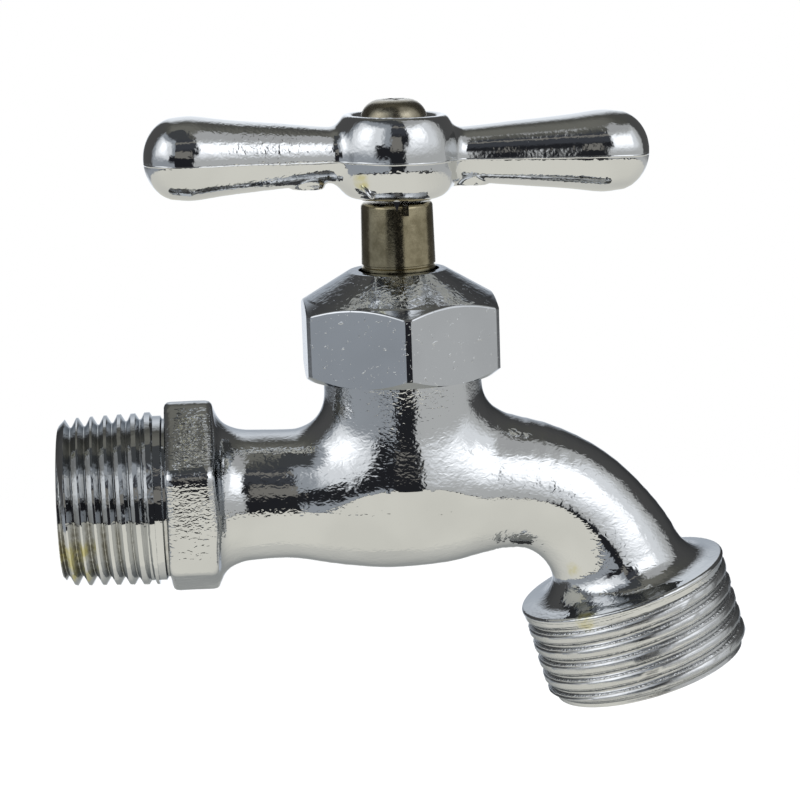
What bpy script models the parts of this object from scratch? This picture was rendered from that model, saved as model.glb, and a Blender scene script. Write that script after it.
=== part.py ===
"""Hose bib: a cast tap body with a pipe-thread inlet, a hose-thread outlet and a tee-handled
compression stem. Sizes are in millimetres until a mesh is made. X runs along the inlet and
Z along the stem. Every shape is drawn about the stem axis, then placed STEM_X from the inlet's
end face, so each moving piece has its origin on the axis it turns and slides on."""

import math

import bmesh
import bpy
from mathutils import Matrix

MM = 0.001
GAP = 0.3
ROUND_STEPS = 32
SMALL_STEPS = 24
ENVELOPE_STEPS = 38
THREAD_START = 0.05  # radians: keeps the threads' corners off those of the turned shapes

# Inlet, threaded into a 1/2 inch pipe fitting
STEM_X = 45.1
INLET_BORE_R = 7.0
PIPE_THREAD_PITCH = 1.814
PIPE_THREAD_DEPTH = 1.25
PIPE_THREAD_SMALL_R = 10.65
PIPE_THREAD_TAPER = 1 / 32
PIPE_THREAD_LENGTH = 12.4
PIPE_THREAD_CHAMFER = 1.0
INLET_SHOULDER_R = 10.7
HEX_START = 14.0
HEX_LENGTH = 6.5
HEX_ACROSS_FLATS = 23.0
HEX_CORNER_R = 2.6
HEX_TURN_DEG = 5.0
HEX_EDGE_BEVEL = 0.7

# The run from the hex to the outlet: (x, z, slope in degrees below level, radius)
RUN_STATIONS = (
    (-30.0, -0.15, 0.0, 8.5),
    (-24.6, -0.15, 0.0, 9.6),
    (-23.2, -0.15, 0.0, 8.9),
    (-21.6, -0.15, 0.0, 8.5),
    (-18.5, -0.15, 0.0, 8.4),
    (-14.5, -0.15, 0.0, 8.45),
    (-9.8, -0.3, 0.0, 9.2),
    (-5.0, -0.25, 0.0, 9.95),
    (-1.0, -0.15, 0.0, 10.25),
    (4.3, 0.0, 0.0, 10.0),
    (9.0, 0.3, 2.0, 9.4),
    (13.0, 0.2, 8.0, 8.8),
    (17.6, -0.9, 20.0, 8.2),
    (21.6, -3.0, 36.0, 8.0),
    (24.7, -6.0, 54.0, 8.15),
    (26.8, -9.3, 70.0, 8.8),
    (27.7, -11.6, 74.0, 9.7),
    (28.5, -14.0, 74.0, 10.2),
)
RUN_SUBSTEPS = 2

# Neck under the packing nut
NECK_R = 10.3
NECK_TOP = 24.0
NECK_BOTTOM = -3.0
NECK_LEVELS = (
    # (height, how far it runs out along X to meet the run)
    (14.5, 0.0),
    (12.8, 0.25),
    (11.4, 0.8),
    (10.2, 1.9),
    (9.2, 3.6),
    (8.4, 5.6),
    (7.2, 6.2),
    (5.0, 2.0),
)
NECK_RUNOUT_POWER = 12

# Outlet, 3/4 inch garden hose thread
OUTLET_END_X = 31.8
OUTLET_END_Z = -26.2
OUTLET_TILT_DEG = 16.0
OUTLET_BORE_R = 8.6
HOSE_THREAD_PITCH = 2.209
HOSE_THREAD_DEPTH = 1.1
HOSE_THREAD_R = 13.6
HOSE_THREAD_LENGTH = 10.6
HOSE_THREAD_CHAMFER = 0.9
FLANGE_R = 13.75
FLANGE_TOP = 13.6
FLANGE_ROUND = 1.6

# Water way inside the body
SEAT_Z = 1.0
SEAT_BORE_R = 3.9
SEAT_RING_R = 5.6
SEAT_RING_HEIGHT = 0.9
CHAMBER_R = 8.1
CHAMBER_TOP = 9.0
LOWER_WAY_HEIGHT = 2.9
LOWER_WAY_WIDTH = 6.0
LOWER_WAY_Z = -4.4
LOWER_WAY_START = -14.5
LOWER_WAY_END = 6.0
INLET_BORE_END = -10.4
INLET_BORE_TAIL = 5.9
SPOUT_BORE = (
    # (x, z, slope in degrees below level, radius)
    (6.0, 4.6, 10.0, 3.4),
    (10.5, 3.4, 18.0, 5.0),
    (15.0, 1.2, 24.0, 5.8),
    (19.4, -1.6, 36.0, 6.0),
    (23.4, -5.4, 52.0, 6.2),
    (26.4, -9.6, 68.0, 6.6),
    (28.2, -13.8, 74.0, 7.4),
    (30.1, -20.4, 74.0, 8.0),
)

# Packing nut
NUT_BOTTOM = 15.3
NUT_SHOULDER = 16.7
NUT_CONE_LOW = 24.1
NUT_TOP = 28.9
NUT_TOP_R = 6.3
NUT_ACROSS_FLATS = 24.6
NUT_CORNER_R = 1.3
NUT_TURN_DEG = 4.8
NUT_CHAMFER_R = 12.4
NUT_OUTER_R = 14.35
NUT_CAVITY_TOP = 24.4
NUT_GLAND_R = 7.7
NUT_GLAND_TOP = 26.8
NUT_HOLE_R = 5.25

# Packing and gland, from the bottom up, in the neck's counterbore
PACKING_BORE_R = 7.5
PACKING_FLOOR = 19.9
PACKING_PIECES = (
    # (node name, bottom, top, material)
    ("packing_washer", 20.2, 21.0, "brass_washer"),
    ("packing_ring", 21.3, 24.2, "graphite_packing"),
    ("gland_follower", 24.5, 26.5, "brass_gland"),
)
PACKING_OUTER_R = 7.2
PACKING_INNER_R = 5.1

# Stem
STEM_LOW_R = 4.8
STEM_HIGH_R = 4.65
STEM_TOP = 37.7
STEM_CHAMFER = 0.6
STEM_RING_Z = 29.3
STEM_RING_DEPTH = 0.25
STEM_RING_HEIGHT = 0.5
STEM_THREAD_R = 6.3
STEM_THREAD_PITCH = 2.54
STEM_THREAD_DEPTH = 1.0
STEM_THREAD_HIGH = 13.2
STEM_THREAD_BORE_R = 6.6
STEM_FOOT = 8.0
STEM_SQUARE = 6.2
STEM_SQUARE_TOP = 46.6
STEM_TAP_R = 2.1
STEM_TAP_DEPTH = 8.6
STEM_SPIGOT_R = 2.6
STEM_SPIGOT_LOW = 5.4

# Swivel disc that carries the seat washer
DISC_R = 6.2
DISC_TOP = 7.7
DISC_FLOOR = 3.9
DISC_RIM_BOTTOM = 2.5
DISC_SOCKET_R = 2.9
DISC_SOCKET_FLOOR = 5.1
WASHER_R = 5.4
WASHER_BOTTOM = 1.3
WASHER_TOP = 3.6
WASHER_HOLE_R = 1.75
WASHER_SCREW_R = 1.4
WASHER_SCREW_TOP = 4.9
WASHER_SCREW_HOLE_R = 1.7
WASHER_SCREW_HEAD_R = 3.0
WASHER_SCREW_HEAD_TOP = 1.0
WASHER_SCREW_HEAD_BOTTOM = -0.3

# Tee handle
HANDLE_Z = 43.5
HANDLE_TURN_DEG = 8.5
HANDLE_LEAN_DEG = 1.6
HANDLE_SHIFT = 0.5
HUB_PROFILE = (
    # (radius, height above the arms' axis)
    (0.0, 3.9),
    (5.2, 3.9),
    (5.7, 4.5),
    (6.5, 4.6),
    (7.1, 4.1),
    (7.6, 2.9),
    (8.0, 1.2),
    (8.1, -0.6),
    (7.9, -2.2),
    (7.3, -3.8),
    (6.5, -4.8),
    (5.4, -5.4),
    (0.0, -5.5),
)
ARM_PROFILE = (
    # (radius, distance from the hub's centre), from the tip inwards
    (0.0, 32.9),
    (1.8, 32.6),
    (3.3, 31.9),
    (4.5, 30.5),
    (5.15, 28.9),
    (5.35, 27.2),
    (5.25, 25.5),
    (4.95, 23.6),
    (4.5, 19.0),
    (4.05, 14.0),
    (3.7, 10.0),
    (3.9, 8.2),
    (4.4, 6.6),
    (3.6, 5.0),
    (0.0, 5.0),
)

# Handle screw
SCREW_SHANK_R = 1.8
SCREW_SHANK_BOTTOM = 39.6
SCREW_HEAD_R = 4.15
SCREW_HEAD_BOTTOM = 47.7
SCREW_HEAD_SIDE = 49.0
SCREW_HEAD_TOP = 50.8
SCREW_DOME_STEPS = 5
SCREW_FLAT_R = 1.9
SCREW_RECESS_REACH = 1.5
SCREW_RECESS_WIDTH = 0.6
SCREW_RECESS_FLOOR = 49.4
SCREW_RECESS_TURN_DEG = 20.0

MATERIALS = {
    # name: (base colour, metallic, roughness)
    "chrome_body": ((0.78, 0.79, 0.80), 1.0, 0.12),
    "chrome_nut": ((0.76, 0.77, 0.79), 1.0, 0.14),
    "chrome_handle": ((0.79, 0.79, 0.80), 1.0, 0.10),
    "nickel_stem": ((0.42, 0.40, 0.34), 1.0, 0.35),
    "nickel_screw": ((0.45, 0.43, 0.36), 1.0, 0.32),
    "brass_disc": ((0.70, 0.52, 0.24), 1.0, 0.35),
    "brass_gland": ((0.68, 0.50, 0.24), 1.0, 0.38),
    "brass_washer": ((0.66, 0.49, 0.23), 1.0, 0.40),
    "brass_small_screw": ((0.72, 0.55, 0.27), 1.0, 0.35),
    "graphite_packing": ((0.06, 0.06, 0.06), 0.0, 0.80),
    "black_rubber": ((0.03, 0.03, 0.03), 0.0, 0.70),
}


def clear_scene():
    for obj in list(bpy.data.objects):
        bpy.data.objects.remove(obj, do_unlink=True)


def new_collection(name):
    collection = bpy.data.collections.new(name)
    bpy.context.scene.collection.children.link(collection)
    return collection


def new_material(name):
    colour, metallic, roughness = MATERIALS[name]
    material = bpy.data.materials.new(name)
    material.use_nodes = True
    shader = material.node_tree.nodes["Principled BSDF"]
    shader.inputs["Base Color"].default_value = (*colour, 1.0)
    shader.inputs["Metallic"].default_value = metallic
    shader.inputs["Roughness"].default_value = roughness
    return material


def mesh_object(name, points, faces, smooth=True):
    """An object on the stem axis, from points in millimetres."""
    mesh = bpy.data.meshes.new(name)
    mesh.from_pydata([[c * MM for c in point] for point in points], [], faces)
    mesh.polygons.foreach_set("use_smooth", [smooth] * len(mesh.polygons))
    obj = bpy.data.objects.new(name, mesh)
    obj.location.x = STEM_X * MM
    return obj


def turned(name, profile, steps=ROUND_STEPS, closed=False):
    """A solid turned about Z from (radius, height) pairs that run down its outer side."""
    points = [(radius, 0.0, height) for radius, height in profile]
    mesh = bpy.data.meshes.new(name)
    edges = [(i, i + 1) for i in range(len(points) - 1)]
    if closed:
        edges.append((len(points) - 1, 0))
    mesh.from_pydata([[c * MM for c in point] for point in points], edges, [])
    obj = bpy.data.objects.new(name, mesh)
    obj.location.x = STEM_X * MM
    screw = obj.modifiers.new("turn", "SCREW")
    screw.steps = steps
    screw.render_steps = steps
    screw.use_merge_vertices = True
    screw.merge_threshold = 0.00001
    screw.use_smooth_shade = True
    return obj


def rod(name, radius, low, high, steps=SMALL_STEPS):
    return turned(name, ((0.0, high), (radius, high), (radius, low), (0.0, low)), steps)


def ring(name, outer, inner, low, high, steps=SMALL_STEPS):
    corners = ((inner, high), (outer, high), (outer, low), (inner, low))
    return turned(name, corners, steps, closed=True)


def prism(name, outline, low, high):
    """A solid that rises along Z over a closed outline of (x, y) pairs."""
    count = len(outline)
    points = [(x, y, z) for z in (low, high) for x, y in outline]
    sides = [(i, (i + 1) % count, (i + 1) % count + count, i + count) for i in range(count)]
    caps = [tuple(reversed(range(count))), tuple(range(count, 2 * count))]
    return mesh_object(name, points, sides + caps, smooth=False)


def rounded_hexagon(across_flats, corner_radius, turn_deg, corner_steps=4):
    """The outline of a hexagon with round corners, turned so that one faces -Y at 0 degrees."""
    reach = (across_flats / 2 - corner_radius) / math.cos(math.radians(30))
    outline = []
    for corner in range(6):
        middle = math.radians(60 * corner - 90 + turn_deg)
        for step in range(corner_steps + 1):
            angle = middle + math.radians(60 * step / corner_steps - 30)
            x = reach * math.cos(middle) + corner_radius * math.cos(angle)
            y = reach * math.sin(middle) + corner_radius * math.sin(angle)
            outline.append((x, y))
    return outline


def ellipse(half_x, half_y):
    angles = [2 * math.pi * i / SMALL_STEPS for i in range(SMALL_STEPS)]
    return [(half_x * math.cos(angle), half_y * math.sin(angle)) for angle in angles]


def square(side, turn_deg):
    half = side / math.sqrt(2)
    angles = [math.radians(turn_deg + 45 + 90 * i) for i in range(4)]
    return [(half * math.cos(angle), half * math.sin(angle)) for angle in angles]


def block(name, x, y, z):
    """A box from its low and high ends along each axis."""
    outline = ((x[0], y[0]), (x[1], y[0]), (x[1], y[1]), (x[0], y[1]))
    return prism(name, outline, z[0], z[1])


def smooth_between(stations, substeps):
    """Stations with more put between them, on Catmull-Rom curves through every value."""
    padded = [stations[0], *stations, stations[-1]]
    found = []
    for before, start, end, after in zip(padded, padded[1:], padded[2:], padded[3:]):
        for step in range(substeps):
            t = step / substeps
            found.append([
                start[i]
                + 0.5 * t * (end[i] - before[i])
                + t * t * (before[i] - 2.5 * start[i] + 2 * end[i] - 0.5 * after[i])
                + 0.5 * t**3 * (3 * (start[i] - end[i]) + after[i] - before[i])
                for i in range(len(start))
            ])
    return found + [list(stations[-1])]


def pipe(name, stations, substeps, steps=ROUND_STEPS):
    """A round pipe, solid, whose (x, z, slope, radius) stations lie in the XZ plane."""
    points = []
    for x, z, slope, radius in smooth_between(stations, substeps):
        tilt = math.radians(slope)
        for i in range(steps):
            angle = 2 * math.pi * i / steps
            up = radius * math.cos(angle)
            across = radius * math.sin(angle)
            points.append((x + up * math.sin(tilt), across, z + up * math.cos(tilt)))
    return skinned(name, points, steps)


def skinned(name, points, steps):
    """Rings of points joined into one solid, with a flat cap at each end."""
    rings = len(points) // steps
    faces = []
    for low in range(0, (rings - 1) * steps, steps):
        for i in range(steps):
            j = (i + 1) % steps
            faces.append((low + i, low + j, low + steps + j, low + steps + i))
    faces.append(tuple(reversed(range(steps))))
    faces.append(tuple(range((rings - 1) * steps, rings * steps)))
    obj = mesh_object(name, points, faces)
    face_outwards(obj)
    return obj


def face_outwards(obj):
    work = bmesh.new()
    work.from_mesh(obj.data)
    bmesh.ops.recalc_face_normals(work, faces=work.faces)
    work.to_mesh(obj.data)
    work.free()


def threaded_rod(name, crest_radius, depth, pitch, low, high, taper=0.0, steps=ROUND_STEPS):
    """A rod along Z with one true right-hand thread, from below `low` to above `high`.

    `taper` is the radius lost per millimetre of height."""
    turns = math.ceil((high - low) / pitch) + 2
    start = low - 1.5 * pitch
    tooth = ((0.0, depth), (0.12, depth), (0.44, 0.0), (0.68, 0.0), (1.0, depth))
    work = bmesh.new()
    rows = []
    for step in range(turns * steps + 1):
        angle = 2 * math.pi * step / steps + THREAD_START
        row = []
        for part, drop in tooth:
            height = start + pitch * (step / steps + part)
            radius = crest_radius - drop - taper * (height - low)
            spot = (radius * math.cos(angle), radius * math.sin(angle), height)
            row.append(work.verts.new([c * MM for c in spot]))
        rows.append(row)
    for row, following in zip(rows, rows[1:]):
        for k in range(len(tooth) - 1):
            work.faces.new((row[k], following[k], following[k + 1], row[k + 1]))
    bmesh.ops.remove_doubles(work, verts=work.verts, dist=1e-7)
    middle = (low + high) / 2 * MM
    ends = [edge for edge in work.edges if edge.is_boundary]
    tips = {
        below: work.verts.new((0.0, 0.0, tip * MM))
        for below, tip in ((True, start - pitch), (False, start + (turns + 2) * pitch))
    }
    for edge in ends:
        tip = tips[edge.verts[0].co.z < middle]
        work.faces.new((*edge.verts, tip))
    bmesh.ops.recalc_face_normals(work, faces=work.faces)
    mesh = bpy.data.meshes.new(name)
    work.to_mesh(mesh)
    work.free()
    obj = bpy.data.objects.new(name, mesh)
    obj.location.x = STEM_X * MM
    return obj


def combine(obj, operation, *others):
    """Adds one live Boolean for each other object, which goes in the cutters' collection."""
    for other in others:
        cutters.objects.link(other)
        other.hide_render = True
        other.display_type = "WIRE"
        boolean = obj.modifiers.new(other.name, "BOOLEAN")
        boolean.operation = operation
        boolean.solver = "EXACT"
        boolean.object = other


def along_inlet(obj):
    """Turns a shape drawn about +Z so that its height runs along +X from the inlet's end."""
    obj.rotation_euler.y = math.radians(90)
    obj.location.x = 0.0
    return obj


def along_outlet(obj):
    """Turns a shape drawn about +Z so that it stands on the outlet's end, up into the body."""
    obj.rotation_euler.y = math.radians(-OUTLET_TILT_DEG)
    obj.location = ((STEM_X + OUTLET_END_X) * MM, 0.0, OUTLET_END_Z * MM)
    return obj


def add_part(obj, material):
    parts.objects.link(obj)
    obj.data.materials.append(new_material(material))


def inlet_threads():
    end_radius = PIPE_THREAD_SMALL_R - PIPE_THREAD_CHAMFER
    clear_radius = PIPE_THREAD_SMALL_R + 1.0
    threads = threaded_rod(
        "inlet_threads",
        PIPE_THREAD_SMALL_R,
        PIPE_THREAD_DEPTH,
        PIPE_THREAD_PITCH,
        0.0,
        PIPE_THREAD_LENGTH,
        -PIPE_THREAD_TAPER,
    )
    envelope = turned("inlet_thread_envelope", (
        (0.0, PIPE_THREAD_LENGTH + GAP),
        (clear_radius, PIPE_THREAD_LENGTH + GAP),
        (clear_radius, PIPE_THREAD_CHAMFER + 1.0),
        (end_radius, 0.0),
        (0.0, 0.0),
    ), ENVELOPE_STEPS)
    combine(threads, "INTERSECT", along_inlet(envelope))
    return along_inlet(threads)


def inlet_hex():
    outline = rounded_hexagon(HEX_ACROSS_FLATS, HEX_CORNER_R, 90.0 + HEX_TURN_DEG)
    hexagon = prism("inlet_hex", outline, HEX_START, HEX_START + HEX_LENGTH)
    bevel = hexagon.modifiers.new("edges", "BEVEL")
    bevel.width = HEX_EDGE_BEVEL * MM
    bevel.segments = 2
    bevel.limit_method = "ANGLE"
    bevel.angle_limit = math.radians(60)
    return along_inlet(hexagon)


def neck():
    """The round neck, run out along X below so that it meets the run without a step."""
    levels = [(NECK_TOP, 0.0), *NECK_LEVELS, (NECK_BOTTOM, 0.0)]
    points = []
    for height, runout in levels:
        for i in range(ROUND_STEPS):
            angle = 2 * math.pi * i / ROUND_STEPS
            radius = NECK_R + runout * abs(math.cos(angle)) ** NECK_RUNOUT_POWER
            points.append((radius * math.cos(angle), radius * math.sin(angle), height))
    return skinned("neck", points, ROUND_STEPS)


def outlet_threads():
    threads = threaded_rod(
        "outlet_threads",
        HOSE_THREAD_R,
        HOSE_THREAD_DEPTH,
        HOSE_THREAD_PITCH,
        0.0,
        HOSE_THREAD_LENGTH,
    )
    envelope = turned("outlet_thread_envelope", (
        (0.0, HOSE_THREAD_LENGTH),
        (HOSE_THREAD_R + 1.0, HOSE_THREAD_LENGTH),
        (HOSE_THREAD_R + 1.0, HOSE_THREAD_CHAMFER + 1.0),
        (HOSE_THREAD_R - HOSE_THREAD_CHAMFER, 0.0),
        (0.0, 0.0),
    ), ENVELOPE_STEPS)
    combine(threads, "INTERSECT", along_outlet(envelope))
    return along_outlet(threads)


def outlet_flange():
    low = HOSE_THREAD_LENGTH - GAP
    shoulder = [
        (
            FLANGE_R - FLANGE_ROUND * (1 - math.sin(math.radians(angle))),
            FLANGE_TOP - FLANGE_ROUND * (1 - math.cos(math.radians(angle))),
        )
        for angle in (0, 30, 60, 90)
    ]
    profile = ((0.0, FLANGE_TOP), *shoulder, (FLANGE_R, low), (0.0, low))
    return along_outlet(turned("outlet_flange", profile, ENVELOPE_STEPS))


def water_way_cutters():
    """Inlet bore, the way under the seat, the seat's hole, the chamber, and the spout's bore."""
    inlet_low = -GAP
    inlet_bore = along_inlet(turned("inlet_bore", (
        (0.0, STEM_X + INLET_BORE_END),
        (INLET_BORE_TAIL, STEM_X + INLET_BORE_END),
        (INLET_BORE_R, HEX_START + HEX_LENGTH),
        (INLET_BORE_R, inlet_low),
        (0.0, inlet_low),
    ), SMALL_STEPS))
    lower_way = prism(
        "lower_way",
        ellipse(LOWER_WAY_HEIGHT, LOWER_WAY_WIDTH),
        LOWER_WAY_START,
        LOWER_WAY_END,
    )
    lower_way.rotation_euler.y = math.radians(90)
    lower_way.location.z = LOWER_WAY_Z * MM
    seat_hole = rod("seat_hole", SEAT_BORE_R, LOWER_WAY_Z, SEAT_Z + GAP, ENVELOPE_STEPS)
    chamber = turned("chamber", (
        (0.0, CHAMBER_TOP),
        (CHAMBER_R, CHAMBER_TOP),
        (CHAMBER_R, SEAT_Z - SEAT_RING_HEIGHT),
        (SEAT_RING_R, SEAT_Z - SEAT_RING_HEIGHT),
        (SEAT_RING_R - 0.6, SEAT_Z),
        (0.0, SEAT_Z),
    ))
    spout_bore = pipe("spout_bore", SPOUT_BORE, 2, SMALL_STEPS)
    outlet_bore = along_outlet(rod("outlet_bore", OUTLET_BORE_R, -GAP, 9.0))
    return inlet_bore, lower_way, seat_hole, chamber, spout_bore, outlet_bore


def neck_cutters():
    stem_bore = rod("stem_bore", STEM_THREAD_BORE_R, CHAMBER_TOP - GAP, NECK_TOP + GAP)
    packing_bore = rod("packing_bore", PACKING_BORE_R, PACKING_FLOOR, NECK_TOP + GAP)
    return stem_bore, packing_bore


def make_body():
    body = pipe("valve_body", RUN_STATIONS, RUN_SUBSTEPS)
    shoulder = along_inlet(
        rod("inlet_shoulder", INLET_SHOULDER_R, PIPE_THREAD_LENGTH, HEX_START + GAP, ENVELOPE_STEPS)
    )
    solids = (neck(), inlet_hex(), shoulder, inlet_threads(), outlet_flange(), outlet_threads())
    combine(body, "UNION", *solids)
    combine(body, "DIFFERENCE", *water_way_cutters(), *neck_cutters())
    add_part(body, "chrome_body")


def make_packing_nut():
    outline = rounded_hexagon(NUT_ACROSS_FLATS, NUT_CORNER_R, NUT_TURN_DEG)
    nut = prism("packing_nut", outline, NUT_BOTTOM - 1.0, NUT_TOP + 1.0)
    envelope = turned("nut_envelope", (
        (0.0, NUT_TOP),
        (NUT_TOP_R, NUT_TOP),
        (NUT_OUTER_R, NUT_CONE_LOW),
        (NUT_OUTER_R, NUT_SHOULDER),
        (NUT_CHAMFER_R, NUT_BOTTOM),
        (0.0, NUT_BOTTOM),
    ), 2 * ROUND_STEPS)
    cavity = turned("nut_cavity", (
        (0.0, NUT_TOP + GAP),
        (NUT_HOLE_R, NUT_TOP + GAP),
        (NUT_HOLE_R, NUT_GLAND_TOP),
        (NUT_GLAND_R, NUT_GLAND_TOP),
        (NUT_GLAND_R, NUT_CAVITY_TOP),
        (NECK_R + GAP, NUT_CAVITY_TOP),
        (NECK_R + GAP, NUT_BOTTOM - GAP),
        (0.0, NUT_BOTTOM - GAP),
    ))
    combine(nut, "INTERSECT", envelope)
    combine(nut, "DIFFERENCE", cavity)
    add_part(nut, "chrome_nut")


def make_packing():
    for name, low, high, material in PACKING_PIECES:
        add_part(ring(name, PACKING_OUTER_R, PACKING_INNER_R, low, high), material)


def make_stem():
    """The spindle: a spigot in the disc, a coarse thread, the shaft and a square on top."""
    stem = turned("stem", (
        (0.0, STEM_TOP),
        (STEM_HIGH_R - STEM_CHAMFER, STEM_TOP),
        (STEM_HIGH_R, STEM_TOP - STEM_CHAMFER),
        (STEM_LOW_R, STEM_RING_Z + STEM_RING_HEIGHT),
        (STEM_LOW_R - STEM_RING_DEPTH, STEM_RING_Z + STEM_RING_HEIGHT),
        (STEM_LOW_R - STEM_RING_DEPTH, STEM_RING_Z),
        (STEM_LOW_R, STEM_RING_Z),
        (STEM_LOW_R, STEM_FOOT),
        (STEM_SPIGOT_R, STEM_FOOT),
        (STEM_SPIGOT_R, STEM_SPIGOT_LOW),
        (0.0, STEM_SPIGOT_LOW),
    ))
    thread = threaded_rod(
        "stem_thread",
        STEM_THREAD_R,
        STEM_THREAD_DEPTH,
        STEM_THREAD_PITCH,
        STEM_FOOT,
        STEM_THREAD_HIGH,
    )
    envelope = rod("stem_thread_envelope", STEM_THREAD_R + 1.0, STEM_FOOT - 0.1, STEM_THREAD_HIGH)
    combine(thread, "INTERSECT", envelope)
    drive = prism("stem_square", square(STEM_SQUARE, HANDLE_TURN_DEG), STEM_TOP - 1.0, STEM_SQUARE_TOP)
    tap = rod("stem_tap", STEM_TAP_R, STEM_SQUARE_TOP - STEM_TAP_DEPTH, STEM_SQUARE_TOP + GAP)
    combine(stem, "UNION", thread, drive)
    combine(stem, "DIFFERENCE", tap)
    add_part(stem, "nickel_stem")


def make_disc_holder():
    """The swivel disc: a cup below for the washer, a socket above for the stem's spigot."""
    disc = turned("disc_holder", (
        (0.0, DISC_SOCKET_FLOOR),
        (DISC_SOCKET_R, DISC_SOCKET_FLOOR),
        (DISC_SOCKET_R, DISC_TOP),
        (DISC_R, DISC_TOP),
        (DISC_R, DISC_RIM_BOTTOM),
        (WASHER_R + GAP, DISC_RIM_BOTTOM),
        (WASHER_R + GAP, DISC_FLOOR),
        (0.0, DISC_FLOOR),
    ))
    hole = rod("disc_screw_hole", WASHER_SCREW_HOLE_R, DISC_FLOOR - GAP, DISC_SOCKET_FLOOR + GAP)
    combine(disc, "DIFFERENCE", hole)
    add_part(disc, "brass_disc")


def make_seat_washer():
    add_part(ring("seat_washer", WASHER_R, WASHER_HOLE_R, WASHER_BOTTOM, WASHER_TOP), "black_rubber")
    screw = turned("washer_screw", (
        (0.0, WASHER_SCREW_TOP),
        (WASHER_SCREW_R, WASHER_SCREW_TOP),
        (WASHER_SCREW_R, WASHER_SCREW_HEAD_TOP),
        (WASHER_SCREW_HEAD_R, WASHER_SCREW_HEAD_TOP),
        (WASHER_SCREW_HEAD_R, WASHER_SCREW_HEAD_BOTTOM),
        (0.0, WASHER_SCREW_HEAD_BOTTOM),
    ), SMALL_STEPS)
    add_part(screw, "brass_small_screw")


def baked(obj, placement):
    """The same object with its modifiers applied and its mesh moved by `placement`."""
    holder.objects.link(obj)
    bpy.context.view_layer.update()
    graph = bpy.context.evaluated_depsgraph_get()
    mesh = bpy.data.meshes.new_from_object(obj.evaluated_get(graph))
    holder.objects.unlink(obj)
    obj.modifiers.clear()
    mesh.transform(placement)
    obj.data = mesh
    return obj


def make_handle():
    turn = Matrix.Rotation(math.radians(HANDLE_TURN_DEG), 4, "Z")
    lean = Matrix.Rotation(math.radians(HANDLE_LEAN_DEG), 4, "Y")
    centre = Matrix.Translation((HANDLE_SHIFT * MM, 0.0, HANDLE_Z * MM)) @ lean @ turn
    handle = baked(turned("handle", HUB_PROFILE), centre)
    for side, name in ((90, "arm_right"), (-90, "arm_left")):
        lay_down = Matrix.Rotation(math.radians(side), 4, "Y")
        combine(handle, "UNION", baked(turned(name, ARM_PROFILE, SMALL_STEPS), centre @ lay_down))
    low, high = STEM_TOP - 1.0, SCREW_HEAD_TOP
    bore = prism("handle_bore", square(STEM_SQUARE + 2 * GAP, HANDLE_TURN_DEG), low, high)
    combine(handle, "DIFFERENCE", bore)
    add_part(handle, "chrome_handle")


def screw_recess(name, turn_deg):
    """One bar of the cross in the screw's head."""
    across = (-SCREW_RECESS_WIDTH / 2, SCREW_RECESS_WIDTH / 2)
    along = (-SCREW_RECESS_REACH, SCREW_RECESS_REACH)
    bar = block(name, along, across, (SCREW_RECESS_FLOOR, SCREW_HEAD_TOP + GAP))
    bar.rotation_euler.z = math.radians(turn_deg)
    return bar


def make_handle_screw():
    """A domed screw with a flat top, where the cross recess is."""
    rise = SCREW_HEAD_TOP - SCREW_HEAD_SIDE
    spread = SCREW_HEAD_R - SCREW_FLAT_R
    angles = [0.5 * math.pi * i / SCREW_DOME_STEPS for i in range(SCREW_DOME_STEPS + 1)]
    dome = [
        (SCREW_FLAT_R + spread * math.sin(angle), SCREW_HEAD_SIDE + rise * math.cos(angle))
        for angle in angles
    ]
    screw = turned("handle_screw", (
        (0.0, SCREW_HEAD_TOP),
        *dome,
        (SCREW_HEAD_R, SCREW_HEAD_BOTTOM),
        (SCREW_SHANK_R, SCREW_HEAD_BOTTOM),
        (SCREW_SHANK_R, SCREW_SHANK_BOTTOM),
        (0.0, SCREW_SHANK_BOTTOM),
    ), SMALL_STEPS)
    first = screw_recess("recess_along", SCREW_RECESS_TURN_DEG)
    second = screw_recess("recess_across", SCREW_RECESS_TURN_DEG + 90.0)
    combine(screw, "DIFFERENCE", first, second)
    add_part(screw, "nickel_screw")


clear_scene()
parts = new_collection("hose_bib")
cutters = new_collection("cutters")
holder = bpy.context.scene.collection
make_body()
make_packing_nut()
make_packing()
make_stem()
make_disc_holder()
make_seat_washer()
make_handle()
make_handle_screw()
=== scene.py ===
"""Looks of the hose bib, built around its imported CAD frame.

Lengths are in millimetres until a mesh is made. Body shapes are measured from the point where
the stem's axis crosses the inlet's axis, as in the CAD model."""

import itertools
import math

import bmesh
import bpy
import numpy as np
from mathutils import Matrix, Vector, noise


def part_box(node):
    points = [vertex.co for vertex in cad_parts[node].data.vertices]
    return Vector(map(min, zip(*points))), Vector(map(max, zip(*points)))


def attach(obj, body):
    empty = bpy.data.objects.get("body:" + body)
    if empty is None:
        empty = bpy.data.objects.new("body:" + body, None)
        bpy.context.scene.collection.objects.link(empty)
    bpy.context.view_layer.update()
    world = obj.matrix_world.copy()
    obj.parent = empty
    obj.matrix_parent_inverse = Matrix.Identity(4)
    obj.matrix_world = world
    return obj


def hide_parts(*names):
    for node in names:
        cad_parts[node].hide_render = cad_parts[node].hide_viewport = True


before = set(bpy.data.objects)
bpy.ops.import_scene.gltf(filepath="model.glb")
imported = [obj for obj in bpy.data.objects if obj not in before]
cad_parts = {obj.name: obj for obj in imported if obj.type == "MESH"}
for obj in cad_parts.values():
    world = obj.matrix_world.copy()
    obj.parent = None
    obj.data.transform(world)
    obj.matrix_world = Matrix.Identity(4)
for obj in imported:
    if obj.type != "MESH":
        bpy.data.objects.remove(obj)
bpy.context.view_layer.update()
MM = 0.001


def box_mm(node):
    """The low and high corners of a CAD node, in millimetres."""
    low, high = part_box(node)
    return np.array(low) / MM, np.array(high) / MM


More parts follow.
